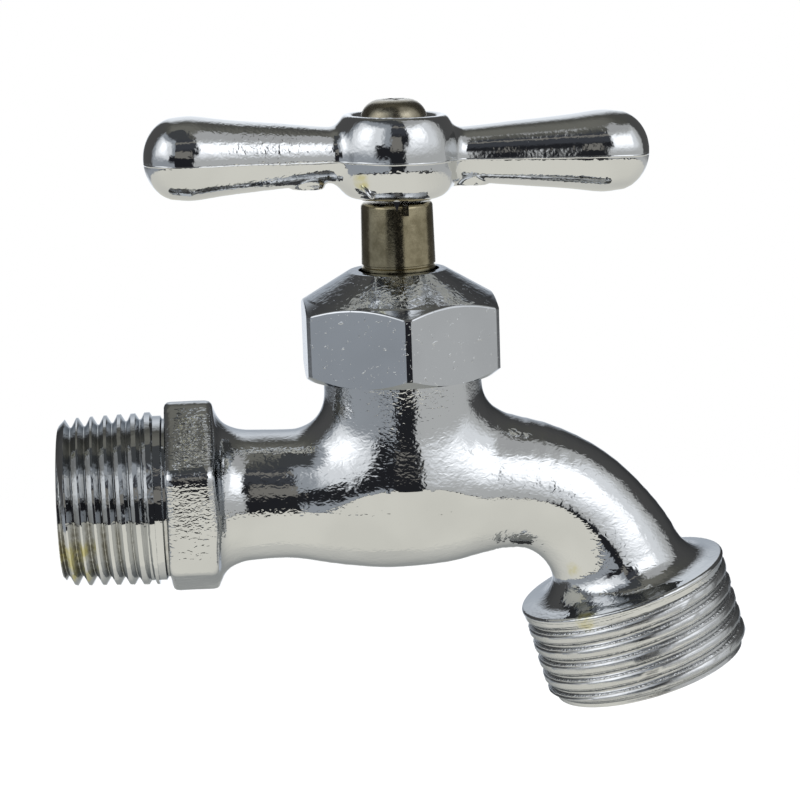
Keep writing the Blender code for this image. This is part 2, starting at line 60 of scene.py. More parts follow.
STEM_LOW, STEM_HIGH = box_mm("stem")
NUT_LOW, NUT_HIGH = box_mm("packing_nut")
SCREW_LOW, SCREW_HIGH = box_mm("handle_screw")
STEM_X = (STEM_LOW[0] + STEM_HIGH[0]) / 2

# Camera, seen from low in front of the object and a little to its left
CAMERA_DISTANCE = 345.0
CAMERA_ELEVATION_DEG = 11.0
CAMERA_AZIMUTH_DEG = -3.2
CAMERA_ROLL_DEG = 1.94
CAMERA_LENS = 118.0
SENSOR_WIDTH = 36.0
TARGET_SIDE = -0.8
TARGET_UP = 11.35

# Mesh steps
CAST_STEP = 0.5
HANDLE_STEP = 0.36
TURN_STEPS = 96
THREAD_STEPS = 96
SMOOTH_ANGLE_DEG = 30.0
FLAT_ANGLE_DEG = 0.5
COARSE_MERGE = 0.02
FINE_MERGE = 0.001
BEVEL_STEPS = 3
BEVEL_ANGLE_DEG = 18.0
THREAD_START_TURN = 0.13
# Steps that keep the corners of shapes which cut the threads off those of the threads
ENVELOPE_STEPS = TURN_STEPS + 14
SHOULDER_STEPS = TURN_STEPS + 8

# Inlet
INLET_BORE_R = 7.0
INLET_BORE_TAIL_R = 5.9
INLET_BORE_END = -10.4
INLET_BORE_CHAMFER = 0.7
BORE_PAST = 0.2
PIPE_PITCH = 1.814
PIPE_CREST_R = 10.9
PIPE_TAPER = 1 / 32
PIPE_LENGTH = 12.4
PIPE_CHAMFER = 1.0
PIPE_SHOULDER_R = 10.75
PIPE_GROOVE_R = 10.35
PIPE_GROOVE = (0.55, 0.35)  # where it starts and is full, before the hex
PIPE_RUNOUT = 0.9
FLANK = 2 * math.tan(math.radians(30))
HEX_START = 13.9
HEX_LENGTH = 6.3
HEX_ACROSS_FLATS = 23.0
HEX_CORNER_R = 2.2
HEX_EDGE_R = 0.8
HEX_TURN_DEG = 6.1

# The run from the hex to the outlet: (x, z, radius)
RUN = (
    (-30.0, -0.15, 8.5), (-24.6, -0.15, 8.6), (-22.4, -0.15, 8.65), (-18.5, -0.15, 8.45),
    (-14.5, -0.25, 8.5), (-9.8, -0.35, 9.3), (-5.0, -0.3, 10.05), (-1.0, -0.2, 10.35),
    (4.3, -0.05, 10.15), (9.0, 0.2, 9.5), (13.0, 0.1, 8.9), (17.6, -0.9, 8.3), (21.5, -3.0, 8.1),
    (24.6, -6.0, 8.15), (26.8, -9.3, 8.55), (28.1, -12.4, 8.95), (29.5, -16.6, 9.3),
)
RUN_SUBSTEPS = 3
CREASE = 0.14
CREASE_START = 9.0
CREASE_FULL = 18.0
NECK_R = 10.3
NECK_TOP = 24.0
NECK_BOTTOM = 2.8
NECK_FILLET_SIDE = 4.6
NECK_FILLET_FRONT = 4.2
HEX_FILLET = 4.4
HEX_FILLET_START = 3.0
HEX_FILLET_FADE = 2.0
HEX_FILLET_LEAST = 0.02
FLANGE_FILLET = 3.4

# Outlet
OUTLET_END = (31.8, -26.2)
OUTLET_TILT_DEG = 16.0
OUTLET_BORE_R = 8.6
OUTLET_BORE_DEPTH = 9.0
OUTLET_BORE_CHAMFER = 0.8
HOSE_PITCH = 2.209
HOSE_DEPTH = 0.58
HOSE_CREST_R = 13.8
HOSE_CREST = 0.32
CREST_WEAR = 0.16
HOSE_LENGTH = 11.4
HOSE_CHAMFER = 0.95
HOSE_LIP = 0.5
ENVELOPE_PAST = 2.0
FLANGE_R = 13.9
FLANGE_TOP = 12.9
FLANGE_EDGE_R = 0.4
FLANGE_SLOPE = 0.16
RIM_INSET = 0.5
RIM_PROUD = 0.06
RIM_REACH = 4.6
RIM_DIP = 0.12
# The cast core inside the outlet's thread
CORE_R = HOSE_CREST_R - HOSE_DEPTH - 0.3
CORE_SPAN = (3.0, FLANGE_TOP - 0.5)
BODY_BOX = ((-34.0, -14.6, -27.5), (46.0, 14.6, 25.0))
# Roughness as (size, height) pairs
BODY_ROUGHNESS = ((5.0, 0.04), (2.2, 0.03))
HANDLE_ROUGHNESS = ((4.0, 0.025),)
SCAR_ROUGHNESS = ((0.8, 0.35),)

# Water way
SEAT_Z = 1.0
SEAT_BORE_R = 3.9
CHAMBER_R = 8.1
CHAMBER_TOP = 9.0
CHAMBER_BOTTOM = 0.1
SEAT_RING_R = 5.3
LOWER_WAY_HEIGHT = 2.9
LOWER_WAY_WIDTH = 6.0
LOWER_WAY_Z = -4.4
LOWER_WAY_SPAN = (-14.5, 6.0)
SPOUT_BORE = (
    # (x, z, radius)
    (6.0, 4.6, 3.4), (10.5, 3.4, 5.0), (15.0, 1.2, 5.8), (19.4, -1.6, 6.0), (23.4, -5.4, 6.2),
    (26.4, -9.6, 6.6), (28.2, -13.8, 7.4), (29.6, -18.6, 8.0),
)
STEM_BORE_R = 6.6
PACKING_BORE_R = 7.5
PACKING_FLOOR = 19.9

# Packing nut
NUT_ACROSS_FLATS = 24.7
NUT_CORNERS_CUT_R = 13.98
NUT_TURN_DEG = 1.5
NUT_SHIFT = -0.2
NUT_CONE_FOOT_R = 14.35
NUT_CONE_FOOT = 24.1
NUT_TOP_R = 6.3
NUT_CHAMFER_R = 12.4
NUT_CHAMFER_RISE = 1.4
NUT_EDGE_R = 0.2
NUT_HOLE_R = 5.25
NUT_GLAND_R = 7.7
NUT_GLAND_TOP = 26.8
NUT_CAVITY_TOP = 24.4
NUT_CAVITY_R = 10.6

# Handle
HANDLE_Z = 43.85
HANDLE_TURN_DEG = 8.5
HANDLE_LEAN_DEG = 1.6
HANDLE_BOX = ((-34.5, -12.0, 36.0), (35.0, 12.0, 50.6))
HUB_WELL_R = 4.9
HUB = (
    # (radius, height)
    (0.0, 3.7), (5.0, 3.7), (5.5, 4.7), (6.1, 5.05), (6.8, 4.75), (7.6, 3.3), (8.05, 1.3),
    (8.15, -0.6), (7.95, -2.4), (7.4, -4.1), (6.5, -5.2), (5.5, -5.65), (0.0, -5.7),
)
ARM = (
    # (distance from the hub's middle, radius)
    (2.0, 3.3), (6.4, 3.45), (9.0, 3.6), (11.5, 3.8), (15.0, 4.15), (19.0, 4.5), (23.0, 4.9),
    (26.0, 5.3), (27.4, 5.35), (28.9, 5.2),
)
ARM_TIP = 32.9
ARM_END_LENGTH = 4.4
ARM_END_R = 5.25
ARM_END_TURN = 1.35  # radians round the oval end, from its point to the arm's side
ARM_LENGTHS = (32.4, 33.8)
ARM_DROPS = (0.0, 0.35)
ARM_FILLET = 1.3
BOSS_R = 2.2
BOSS_REACH = 4.25
BOSS_EDGE_R = 0.25
BOSS_FILLET = 0.5
BOSS_PLACES = (-11.4, 9.9)
HANDLE_BORE = 3.4
PARTING_DROP = 0.5
SCAR_PLACE = (-4.0, -6.15, -4.0)
SCAR_HALF = (1.5, 0.42, 0.42)
FLAP_SIDES = (-0.9, 0.35)
FLAP_DEPTHS = (-5.25, -4.4)
FLAP_HEIGHTS = (-5.2, -6.9)

# Stem and screw
STEM_R = 4.8
STEM_TOP_R = 4.65
STEM_TOP = 37.7
STEM_CHAMFER = 0.6
STEM_GROOVE_Z = 29.3
STEM_GROOVE_DEPTH = 0.18
STEM_FOOT = 8.0
STEM_THREAD_R = 6.3
STEM_THREAD_TOP = 13.2
STEM_SPIGOT_R = 2.6
STEM_SPIGOT_LOW = 5.4
NUB_HALF = (0.38, 0.3, 0.7)
NUB_PLACE = (0.85, -4.85, 37.0)
SCREW_HEAD_R = 4.3
SCREW_FLAT_R = 1.7
SCREW_HEAD_BOTTOM = 47.7
SCREW_HEAD_SIDE = 48.2
SCREW_SHANK_R = 1.8
RECESS_SIZE = (1.5, 0.3, 1.4)
RECESS_TURN_DEG = 20.0

# Surfaces
CHROME = (0.60, 0.61, 0.615)
NUT_CHROME = (0.57, 0.585, 0.60)
EDGE_TINT = (0.42, 0.44, 0.465)
HANDLE_EDGE_TINT = (0.95, 0.95, 0.95)
STAIN = (0.50, 0.45, 0.14)
# Painted shade for the inlet thread's grooves, a dark olive grey
GROOVE_SHADE = (0.21, 0.20, 0.16)
COARSE_HEIGHT = 0.11
CHATTER_STEPS = (-0.5, -0.42, -0.3, -0.2)
SEAM_HALF = (0.03, 0.16)
NUT_CONE_MARKS_R = (11.9, 12.3)
# Stains on the chrome, as (place, reach)
BODY_STAINS = (
    ((1.0, -9.0, -5.5), 5.0), ((3.4, -10.0, -4.5), 3.0), ((2.5, -7.0, -8.5), 4.0),
    ((65.3, -7.0, -11.2), 3.5), ((66.2, -8.5, -13.8), 3.0), ((66.9, -11.5, -16.0), 3.0),
)
HANDLE_STAINS = (
    ((16.0, -4.0, 39.5), 4.0), ((STEM_X - 4.5, -6.0, 41.0), 2.5),
)
# Coarse patches of the castings, as (place, reach, strength)
ARM_COARSE_PLACES = (
    ((STEM_X - 16.0, -4.6, 47.0), 13.0, 0.6),
)
COARSE_PLACES = (
    ((STEM_X, -10.3, 19.0), 11.0, 1.0), ((STEM_X - 2.0, -10.3, 9.0), 5.0, 0.5),
    ((17.0, -11.3, 1.5), 7.0, 0.9), ((17.0, -8.0, 9.0), 6.5, 0.9),
)
CHROMES = {
    # name: (colour, ripple, grain, (least and most roughness), stretch along Z, stains, coarse)
    "chrome_body": (CHROME, 0.036, 0.012, (0.015, 0.06), 1.6, BODY_STAINS, COARSE_PLACES),
    "chrome_thread": (CHROME, 0.028, 0.010, (0.03, 0.07), 1.0, BODY_STAINS, ()),
    "chrome_hose_thread": (CHROME, 0.012, 0.008, (0.20, 0.31), 1.0, BODY_STAINS, ()),
    "chrome_nut": (NUT_CHROME, 0.008, 0.005, (0.04, 0.10), 1.0, (), ()),
    "chrome_handle": (CHROME, 0.018, 0.012, (0.015, 0.06), 1.0, HANDLE_STAINS, ARM_COARSE_PLACES),
}
METALS = {
    # name: (colour, colour of the blotches, roughness)
    "nickel_stem": ((0.37, 0.325, 0.215), (0.21, 0.18, 0.11), 0.16),
    "nickel_screw": ((0.34, 0.31, 0.235), (0.20, 0.18, 0.13), 0.24),
    "brass": ((0.62, 0.44, 0.18), (0.45, 0.30, 0.12), 0.34),
}
METAL_GRAIN = 0.01
SOFT_MATTER = {
    # name: (colour, colour of the mottles, roughness)
    "graphite": ((0.03, 0.03, 0.032), (0.09, 0.09, 0.095), 0.7),
    "rubber": ((0.015, 0.015, 0.015), (0.04, 0.04, 0.04), 0.75),
}
KEPT_NODES = {
    # material: the inner pieces that keep their CAD meshes
    "brass": ("disc_holder", "gland_follower", "packing_washer", "washer_screw"),
    "graphite": ("packing_ring",),
    "rubber": ("seat_washer",),
}
MATERIALS = {}

# Studio
FLOOR_Z = -72.0
FLOOR_R = 420.0
FLOOR_FADE = (120.0, 340.0)
PALE_FLOOR = (0.96, 0.96, 0.96)
LAMP_STRENGTH = 2.2
LAMP_SPREAD_DEG = 70.0
WHITE = (1.0, 1.0, 1.0)
FLOOR_TONE = (0.97, 0.95, 0.86)
FAR_FLOOR_TONE = (0.82, 0.81, 0.75)
BACKDROP = (1.12, 1.17, 1.24)
OVERHEAD = (0.21, 0.208, 0.185)
OVERHEAD_EDGE = (0.11, 0.11, 0.10)
OVERHEAD_DARK = (0.075, 0.08, 0.085)
DARK_ROOM = (0.022, 0.023, 0.027)
DARK_ROOM_HIGH = (0.065, 0.07, 0.082)
TRIPOD = (0.26, 0.25, 0.23)
BACK_CORNER = (0.10, 0.10, 0.10)
LEFT_WALL = (0.41, 0.44, 0.48)
RIGHT_WALL = (0.62, 0.63, 0.63)
HIGH_WALL = (0.55, 0.555, 0.56)
BOX_SKIRT = (1.05, 1.08, 1.12)
BOX_LIGHT = (1.85, 1.88, 1.94)
# Directions from the object: degrees round from the camera's side, to the right, and above level.
# A band rises between its first two angles and falls between its last two. A pair of angles
# is where one colour goes over into another.
FRONT_GAP_LOW = (-16.0, -11.0, 12.0, 18.0)
FRONT_GAP_HIGH = (-13.0, -7.0, 21.0, 29.0)
DARK_OVERHEAD_ROUND = (-95.0, -65.0, 8.0, 24.0)
SKIRT_HEIGHTS = (-3.0, 12.0, 43.0, 51.0)
BOX_HEIGHTS = (6.0, 24.0, 36.0, 48.0)
HIGH_WALL_ROUND = (26.0, 40.0, 84.0, 100.0)
HIGH_WALL_HEIGHTS = (50.0, 58.0, 68.0, 78.0)
TRIPOD_ROUND = (-12.0, -9.0, 9.0, 13.0)
TRIPOD_HEIGHTS = (6.0, 10.0, 24.0, 29.0)
GLEAM_HEIGHTS = (45.0, 48.0, 50.0, 53.0)
CORNER_ROUND = (98.0, 110.0, 156.0, 171.0)
CORNER_HEIGHTS = (-16.0, -6.0, 80.0, 90.0)
FLOOR_LINE = (-20.5, -20.0, -18.8, -18.3)
FLOOR_EDGE = (-21.5, -18.5)
CEILING_EDGE = (54.0, 63.0)
CEILING_EDGE_BEHIND = (34.0, 62.0)
CEILING_LIGHTENS = (57.0, 81.0)
SIDES_MEET = (-5.0, 5.0)
BACKDROP_ROUND = (140.0, 160.0)
DARK_ROOM_LIGHTENS = (24.0, 34.0)
GAP_WIDENS = (8.0, 18.0)
BEHIND_ROUND = (80.0, 150.0)
FAR_FLOOR_ROUND = (60.0, 150.0)
FLOOR_LINE_ROUND = (70.0, 90.0)
WALL_PATCHES = (
    # (band round, band of heights, tone): each soft box over its dimmer skirt, and a low gap
    ((-100.0, -88.0, -34.0, -18.0), SKIRT_HEIGHTS, BOX_SKIRT),
    ((13.0, 23.0, 74.0, 98.0), SKIRT_HEIGHTS, BOX_SKIRT),
    ((-88.0, -69.0, -60.0, -40.0), BOX_HEIGHTS, BOX_LIGHT),
    ((22.0, 34.0, 54.0, 68.0), BOX_HEIGHTS, BOX_LIGHT),
    ((-44.0, -34.0, 6.0, 12.0), (-7.0, 0.0, 11.0, 17.0), DARK_ROOM),
)


# ---- meshes

def rotated(degrees, axis):
    return Matrix.Rotation(math.radians(degrees), 4, axis)


def linked(name, data):
    """A new object in the scene."""
    obj = bpy.data.objects.new(name, data)
    bpy.context.scene.collection.objects.link(obj)
    return obj


def built(name, work):
    """An object of a bmesh, which is freed."""
    mesh = bpy.data.meshes.new(name)
    work.to_mesh(mesh)
    work.free()
    return linked(name, mesh)


def shade_smooth(mesh):
    """Shades a mesh smooth but for its sharp edges."""
    mesh.polygons.foreach_set("use_smooth", [True] * len(mesh.polygons))
    mesh.set_sharp_from_angle(angle=math.radians(SMOOTH_ANGLE_DEG))


def mesh_object(name, points, faces):
    """An object from points in millimetres about the stem's axis."""
    mesh = bpy.data.meshes.new(name)
    placed = (np.asarray(points, float) + (STEM_X, 0.0, 0.0)) * MM
    mesh.from_pydata(placed.tolist(), [], faces)
    mesh.validate()
    shade_smooth(mesh)
    return linked(name, mesh)


def settle(obj):
    """Leaves what an object's modifiers make as its own mesh."""
    bpy.context.view_layer.update()
    graph = bpy.context.evaluated_depsgraph_get()
    obj.data = bpy.data.meshes.new_from_object(obj.evaluated_get(graph))
    obj.modifiers.clear()


def boolean(obj, operation, *others):
    """Joins or cuts closed meshes."""
    for other in others:
        modifier = obj.modifiers.new(other.name, "BOOLEAN")
        modifier.operation = operation
        modifier.solver = "MANIFOLD"
        modifier.object = other
    settle(obj)
    for other in others:
        bpy.data.objects.remove(other)
    shade_smooth(obj.data)
    return obj


def merge_flat(obj, distance):
    """Joins the slivers that Booleans leave into the flat faces they lie in."""
    work = bmesh.new()
    work.from_mesh(obj.data)
    bmesh.ops.remove_doubles(work, verts=work.verts, dist=distance * MM)
    bmesh.ops.dissolve_limit(
        work, angle_limit=math.radians(FLAT_ANGLE_DEG), verts=work.verts, edges=work.edges
    )
    work.to_mesh(obj.data)
    work.free()


def flatten(obj):
    """Keeps broad faces looking flat up to the small faces along their edges."""
    merge_flat(obj, FINE_MERGE)
    modifier = obj.modifiers.new("flat_faces", "WEIGHTED_NORMAL")
    modifier.weight = 100
    modifier.keep_sharp = True
    settle(obj)


def soften(obj, width):
    """Rounds the sharp edges of a mesh a little."""
    merge_flat(obj, COARSE_MERGE)
    modifier = obj.modifiers.new("edges", "BEVEL")
    modifier.width = width * MM
    modifier.segments = BEVEL_STEPS
    modifier.angle_limit = math.radians(BEVEL_ANGLE_DEG)
    modifier.use_clamp_overlap = False
    settle(obj)


def turned(name, profile, steps=TURN_STEPS, place=Matrix.Identity(4), tips=None):
    """A solid turned about Z from (radius, height) pairs down its outer side. Its ends are flat
    unless the heights of two tips on the axis are given."""
    top, bottom = tips or (profile[0][1], profile[-1][1])
    points = [(0.0, 0.0, top), (0.0, 0.0, bottom)]
    for radius, height in profile:
        for i in range(steps):
            angle = 2 * math.pi * i / steps
            points.append((radius * math.cos(angle), radius * math.sin(angle), height))
    faces = []
    last = 2 + (len(profile) - 1) * steps
    for i in range(steps):
        j = (i + 1) % steps
        faces.append((0, 2 + i, 2 + j))
        faces.append((1, last + j, last + i))
        for ring in range(2, last, steps):
            faces.append((ring + i, ring + steps + i, ring + steps + j, ring + j))
    moved = [place @ Vector(point) for point in points]
    return mesh_object(name, moved, faces)


def arc(centre, radius, start, end, count):
    """Points (r, z) on an arc, with angles in degrees above the outward direction."""
    angles = np.radians(np.linspace(start, end, count))
    return [(centre[0] + radius * math.cos(a), centre[1] + radius * math.sin(a)) for a in angles]


def threaded(name, low, high, pitch, shape, place):
    """A closed rod with one right-hand thread. shape(height) gives the crest's radius, the depth
    and the crest's share of the pitch."""
    turns = math.ceil((high - low) / pitch) + 3
    start = low - 1.5 * pitch
    work = bmesh.new()
    rows = []
    for step in range(turns * THREAD_STEPS + 1):
        angle = 2 * math.pi * (step / THREAD_STEPS + THREAD_START_TURN)
        base = start + pitch * step / THREAD_STEPS
        row = []
        for share, depth_share in tooth(shape(base)):
            height = base + pitch * share
            crest, depth, _ = shape(height)
            radius = crest - depth * depth_share
            spot = Vector((radius * math.cos(angle), radius * math.sin(angle), height))
            worn = CREST_WEAR * max(noise.noise(spot) - 0.1, 0.0) * (1 - depth_share)
            spot *= 1 - worn / radius
            row.append(work.verts.new(place @ spot))
        rows.append(row)
    for row, following in zip(rows, rows[1:]):
        for k in range(len(row) - 1):
            work.faces.new((row[k], following[k], following[k + 1], row[k + 1]))
    bmesh.ops.remove_doubles(work, verts=work.verts, dist=1e-5)
    middle = place @ Vector((0.0, 0.0, (low + high) / 2))
    along = place.to_3x3() @ Vector((0.0, 0.0, 1.0))
    span = (turns + 3) * pitch / 2
    tips = [work.verts.new(middle + sign * span * along) for sign in (-1, 1)]
    for edge in [edge for edge in work.edges if edge.is_boundary]:
        above = (edge.verts[0].co - middle).dot(along) > 0
        work.faces.new((*edge.verts, tips[above]))
    bmesh.ops.recalc_face_normals(work, faces=work.faces)
    for vert in work.verts:
        vert.co = (vert.co + Vector((STEM_X, 0.0, 0.0))) * MM
    return built(name, work)


def tooth(shape):
    """One pitch of a thread as (share of the pitch, share of the depth), from root to root."""
    crest = shape[2]
    root = 0.1
    flank = (1 - root - crest) / 2
    return (
        (0.0, 1.0),
        (root * 0.5, 1.0),
        (root + flank * 0.12, 0.9),
        (root + flank * 0.9, 0.06),
        (root + flank, 0.0),
        (root + flank + crest, 0.0),
        (root + flank * 1.1 + crest, 0.06),
        (root * 0.9 + flank * 1.9 + crest, 0.9),
        (1.0, 1.0),
    )


# ---- fields
# A field gives each point's distance to a surface, in millimetres, below zero inside it.

def smooth_min(a, b, reach):
    """Joins two fields, with a fillet of about the reach between them."""
    share = np.clip(0.5 + 0.5 * (b - a) / reach, 0, 1)
    return b + (a - b) * share - reach * share * (1 - share)


def between(value, low, high):
    """The field of the slab where a value lies between two limits."""
    return np.maximum(low - value, value - high)


def rounded_both(a, b, radius):
    """Where two fields both hold, with their shared edge rounded."""
    a, b = a + radius, b + radius
    outside = np.hypot(np.maximum(a, 0), np.maximum(b, 0))
    return np.minimum(np.maximum(a, b), 0) + outside - radius


def hexagon(u, v, across_flats, corner_radius):
    """A hexagon with round corners, flats facing +-v."""
    apothem = across_flats / 2 - corner_radius
    u, v = np.abs(u), np.abs(v)
    fold = 2 * np.minimum(-math.sqrt(0.75) * u + 0.5 * v, 0)
    u = u + math.sqrt(0.75) * fold
    v = v - 0.5 * fold
    half_side = apothem / math.sqrt(3)
    u = u - np.clip(u, -half_side, half_side)
    v = v - apothem
    return np.hypot(u, v) * np.where(v < 0, -1, 1) - corner_radius


def smooth_between(stations, substeps):
    """Stations with more put between them, on Catmull-Rom curves through every value."""
    spots = np.array([stations[0], *stations, stations[-1]])
    found = []
    for before, start, end, after in zip(spots, spots[1:], spots[2:], spots[3:]):
        for step in range(substeps):
            t = step / substeps
            found.append(
                start
                + 0.5 * t * (end - before)
                + t * t * (before - 2.5 * start + 2 * end - 0.5 * after)
                + 0.5 * t**3 * (3 * (start - end) + after - before)
            )
    return np.array([*found, spots[-1]])


def tube(stations, crease=0.0):
    """The field of a round pipe whose centre line, (x, z, radius), lies in the XZ plane. Each
    side can have a crease, which fades in along the spout."""
    line = smooth_between(stations, RUN_SUBSTEPS)
    starts, steps = line[:-1], np.diff(line, axis=0)
    squares = (steps[:, :2] ** 2).sum(axis=1)

    def field(points):
        found = np.empty(len(points))
        for first in range(0, len(points), 40000):
            chunk = points[first : first + 40000]
            away = chunk[:, None, (0, 2)] - starts[None, :, :2]
            along = np.clip((away * steps[:, :2]).sum(axis=2) / squares, 0, 1)
            gap = ((away - along[..., None] * steps[:, :2]) ** 2).sum(axis=2)
            near = gap.argmin(axis=1)
            row = np.arange(len(chunk))
            radius = starts[near, 2] + along[row, near] * steps[near, 2]
            fade = np.clip((chunk[:, 0] - CREASE_START) / (CREASE_FULL - CREASE_START), 0, 1)
            offset = crease * fade * radius
            span = np.hypot(radius, offset)
            up = np.sqrt(gap[row, near]) * (span - offset) / radius + offset
            found[first : first + 40000] = np.hypot(up, chunk[:, 1]) - span
        return found

    return field


def post(radius, low, high):
    """The field of an upright cylinder on the stem's axis."""
    def field(points):
        x, y, z = points.T
        return np.maximum(np.hypot(x, y) - radius, between(z, low, high))
    return field


def inlet_frame(points):
    """(distance from the inlet's axis, height from the inlet's end)."""
    return np.hypot(points[:, 1], points[:, 2]), points[:, 0] + STEM_X


def outlet_frame(points):
    """(distance from the outlet's axis, height above its end)."""
    tilt = math.radians(OUTLET_TILT_DEG)
    x, y, z = points.T
    x, z = x - OUTLET_END[0], z - OUTLET_END[1]
    height = -x * math.sin(tilt) + z * math.cos(tilt)
    across = x * math.cos(tilt) + z * math.sin(tilt)
    return np.hypot(across, y), height


def inlet_hex(points):
    turn = math.radians(HEX_TURN_DEG)
    y, z = points[:, 1], points[:, 2]
    u = z * math.cos(turn) - y * math.sin(turn)
    v = z * math.sin(turn) + y * math.cos(turn)
    outline = hexagon(u, v, HEX_ACROSS_FLATS, HEX_CORNER_R)
    _, height = inlet_frame(points)
    slab = np.abs(height - HEX_START - HEX_LENGTH / 2) - HEX_LENGTH / 2
    return rounded_both(outline, slab, HEX_EDGE_R)


def flange(points):
    across, height = outlet_frame(points)
    top = height - FLANGE_TOP + FLANGE_SLOPE * (across - FLANGE_R + FLANGE_EDGE_R)
    disc = rounded_both(across - FLANGE_R + RIM_INSET, top, FLANGE_EDGE_R)
    disc = np.maximum(disc, HOSE_LENGTH - height)
    core = np.maximum(across - CORE_R, between(height, *CORE_SPAN))
    return np.minimum(disc, core)


def water_way(spout):
    """The field of every hollow inside the body, given that of the spout's bore."""
    chamber = post(CHAMBER_R, SEAT_Z, CHAMBER_TOP)
    moat = post(CHAMBER_R, CHAMBER_BOTTOM, CHAMBER_TOP)
    ring = post(SEAT_RING_R, CHAMBER_BOTTOM - 1, SEAT_Z)
    seat = post(SEAT_BORE_R, LOWER_WAY_Z, SEAT_Z + 1)
    stem_bore = post(STEM_BORE_R, CHAMBER_TOP - 1, NECK_TOP + 1)
    packing = post(PACKING_BORE_R, PACKING_FLOOR, NECK_TOP + 1)

    def field(points):
        x, y, z = points.T
        across, height = inlet_frame(points)
        hex_end = HEX_START + HEX_LENGTH
        narrowing = np.clip((height - hex_end) / (STEM_X + INLET_BORE_END - hex_end), 0, 1)
        radius = INLET_BORE_R + (INLET_BORE_TAIL_R - INLET_BORE_R) * narrowing
        inlet = np.maximum(across - radius, height - STEM_X - INLET_BORE_END)
        up = (z - LOWER_WAY_Z) / LOWER_WAY_HEIGHT
        oval = (np.hypot(y / LOWER_WAY_WIDTH, up) - 1) * LOWER_WAY_HEIGHT
        lower = np.maximum(oval, between(x, *LOWER_WAY_SPAN))
        across, height = outlet_frame(points)
        outlet = np.maximum(across - OUTLET_BORE_R, height - OUTLET_BORE_DEPTH)
        round_seat = np.maximum(moat(points), -ring(points))
        upright = [hole(points) for hole in (chamber, seat, stem_bore, packing)]
        return np.minimum.reduce([inlet, lower, outlet, round_seat, spout(points), *upright])

    return field


def cast_body_field():
    """The casting without its threads: run, neck, hex and flange blended, and the hollows cut."""
    run = tube(RUN, CREASE)
    neck = post(NECK_R, NECK_BOTTOM, NECK_TOP)
    hollow = water_way(tube(SPOUT_BORE))

    def field(points):
        x, y, _ = points.T
        sideways = x**2 / np.maximum(x**2 + y**2, 1e-6)
        reach = NECK_FILLET_FRONT + (NECK_FILLET_SIDE - NECK_FILLET_FRONT) * sideways**3
        solid = smooth_min(run(points), neck(points), reach)
        past_start = x + STEM_X - HEX_START - HEX_FILLET_START
        fillet_share = np.clip(past_start / HEX_FILLET_FADE, HEX_FILLET_LEAST, 1)
        solid = smooth_min(solid, inlet_hex(points), HEX_FILLET * fillet_share)
        solid = smooth_min(solid, flange(points), FLANGE_FILLET)
        solid = np.maximum(solid, HEX_START - x - STEM_X)
        return np.maximum(solid, -hollow(points))

    return field


def outline_field(profile):
    """The signed distance from (a, b) to a closed outline of such pairs."""
    corners = np.array(profile, float)
    steps = np.roll(corners, -1, axis=0) - corners

    def field(a, b):
        nearest = np.full(len(a), np.inf)
        inside = np.zeros(len(a), bool)
        for (start_a, start_b), (step_a, step_b) in zip(corners, steps):
            away_a, away_b = a - start_a, b - start_b
            square = step_a**2 + step_b**2
            along = np.clip((away_a * step_a + away_b * step_b) / max(square, 1e-9), 0, 1)
            nearest = np.minimum(nearest, (away_a - along * step_a) ** 2 + (away_b - along * step_b) ** 2)
            crosses = (start_b > b) != (start_b + step_b > b)
            if step_b:
                inside ^= crosses & (a < start_a + step_a * away_b / step_b)
        return np.sqrt(nearest) * np.where(inside, -1, 1)

    return field


def handle_placement():
    """The handle's frame, turned on the stem and leaning a little."""
    turned_stem = rotated(HANDLE_LEAN_DEG, "Y") @ rotated(HANDLE_TURN_DEG, "Z")
    return Matrix.Translation((0.0, 0.0, HANDLE_Z)) @ turned_stem


def handle_outlines():
    """The fields of the hub's and the arm's half sections, closed a little past their axes."""
    middle = smooth_between(HUB[2:-1], 4).tolist()
    hub = [HUB[0], HUB[1], *middle, HUB[-1], (-1.0, HUB[-1][1]), (-1.0, HUB[0][1])]
    tip = [
        (ARM_TIP - ARM_END_LENGTH + ARM_END_LENGTH * math.cos(a), ARM_END_R * math.sin(a))
        for a in np.linspace(ARM_END_TURN, 0, 14)
    ]
    sides = smooth_between(ARM, 4).tolist()[:-1]
    arm = [*sides, *tip, (ARM_TIP, -1.0), (ARM[0][0], -1.0)]
    return outline_field(hub), outline_field(arm)


def handle_field():
    """The hub with its two arms and their stubs, its well and its square bore."""
    inverse = np.array(handle_placement().inverted())
    hub, arm = handle_outlines()
    turn = math.radians(HANDLE_TURN_DEG)

    def field(points):
        x, y, z = (points @ inverse[:3, :3].T + inverse[:3, 3]).T
        across = np.hypot(x, y)
        solid = hub(across, z)
        length = np.where(x < 0, *ARM_LENGTHS)
        drop = np.where(x < 0, *ARM_DROPS)
        arms = arm(np.abs(x) * ARM_TIP / length, np.hypot(y, z + drop))
        for place in BOSS_PLACES:
            boss = np.hypot(x - place, y) - BOSS_R
            boss = rounded_both(boss, between(z, -BOSS_REACH, 0.0), BOSS_EDGE_R)
            arms = smooth_min(arms, boss, BOSS_FILLET)
        solid = smooth_min(solid, arms, ARM_FILLET)
        well = np.maximum(across - HUB_WELL_R, HUB[0][1] - z)
        solid = np.maximum(solid, -well)
        u = points[:, 0] * math.cos(turn) + points[:, 1] * math.sin(turn)
        v = points[:, 1] * math.cos(turn) - points[:, 0] * math.sin(turn)
        bore = np.maximum(np.abs(u), np.abs(v)) - HANDLE_BORE
        return np.maximum(solid, -bore)

    return field


def project(field, points, rounds=3):
    """Moves points onto the surface, along the field's slope."""
    nudge, least_square, farthest = 0.02, 0.2, 0.4
    for _ in range(rounds):
        here = field(points)
        slope = np.stack([field(points + nudge * axis) - here for axis in np.eye(3)], axis=1) / nudge
        square = np.maximum((slope**2).sum(axis=1), least_square)
        points = points - slope * np.clip(here / square, -farthest, farthest)[:, None]
    return points


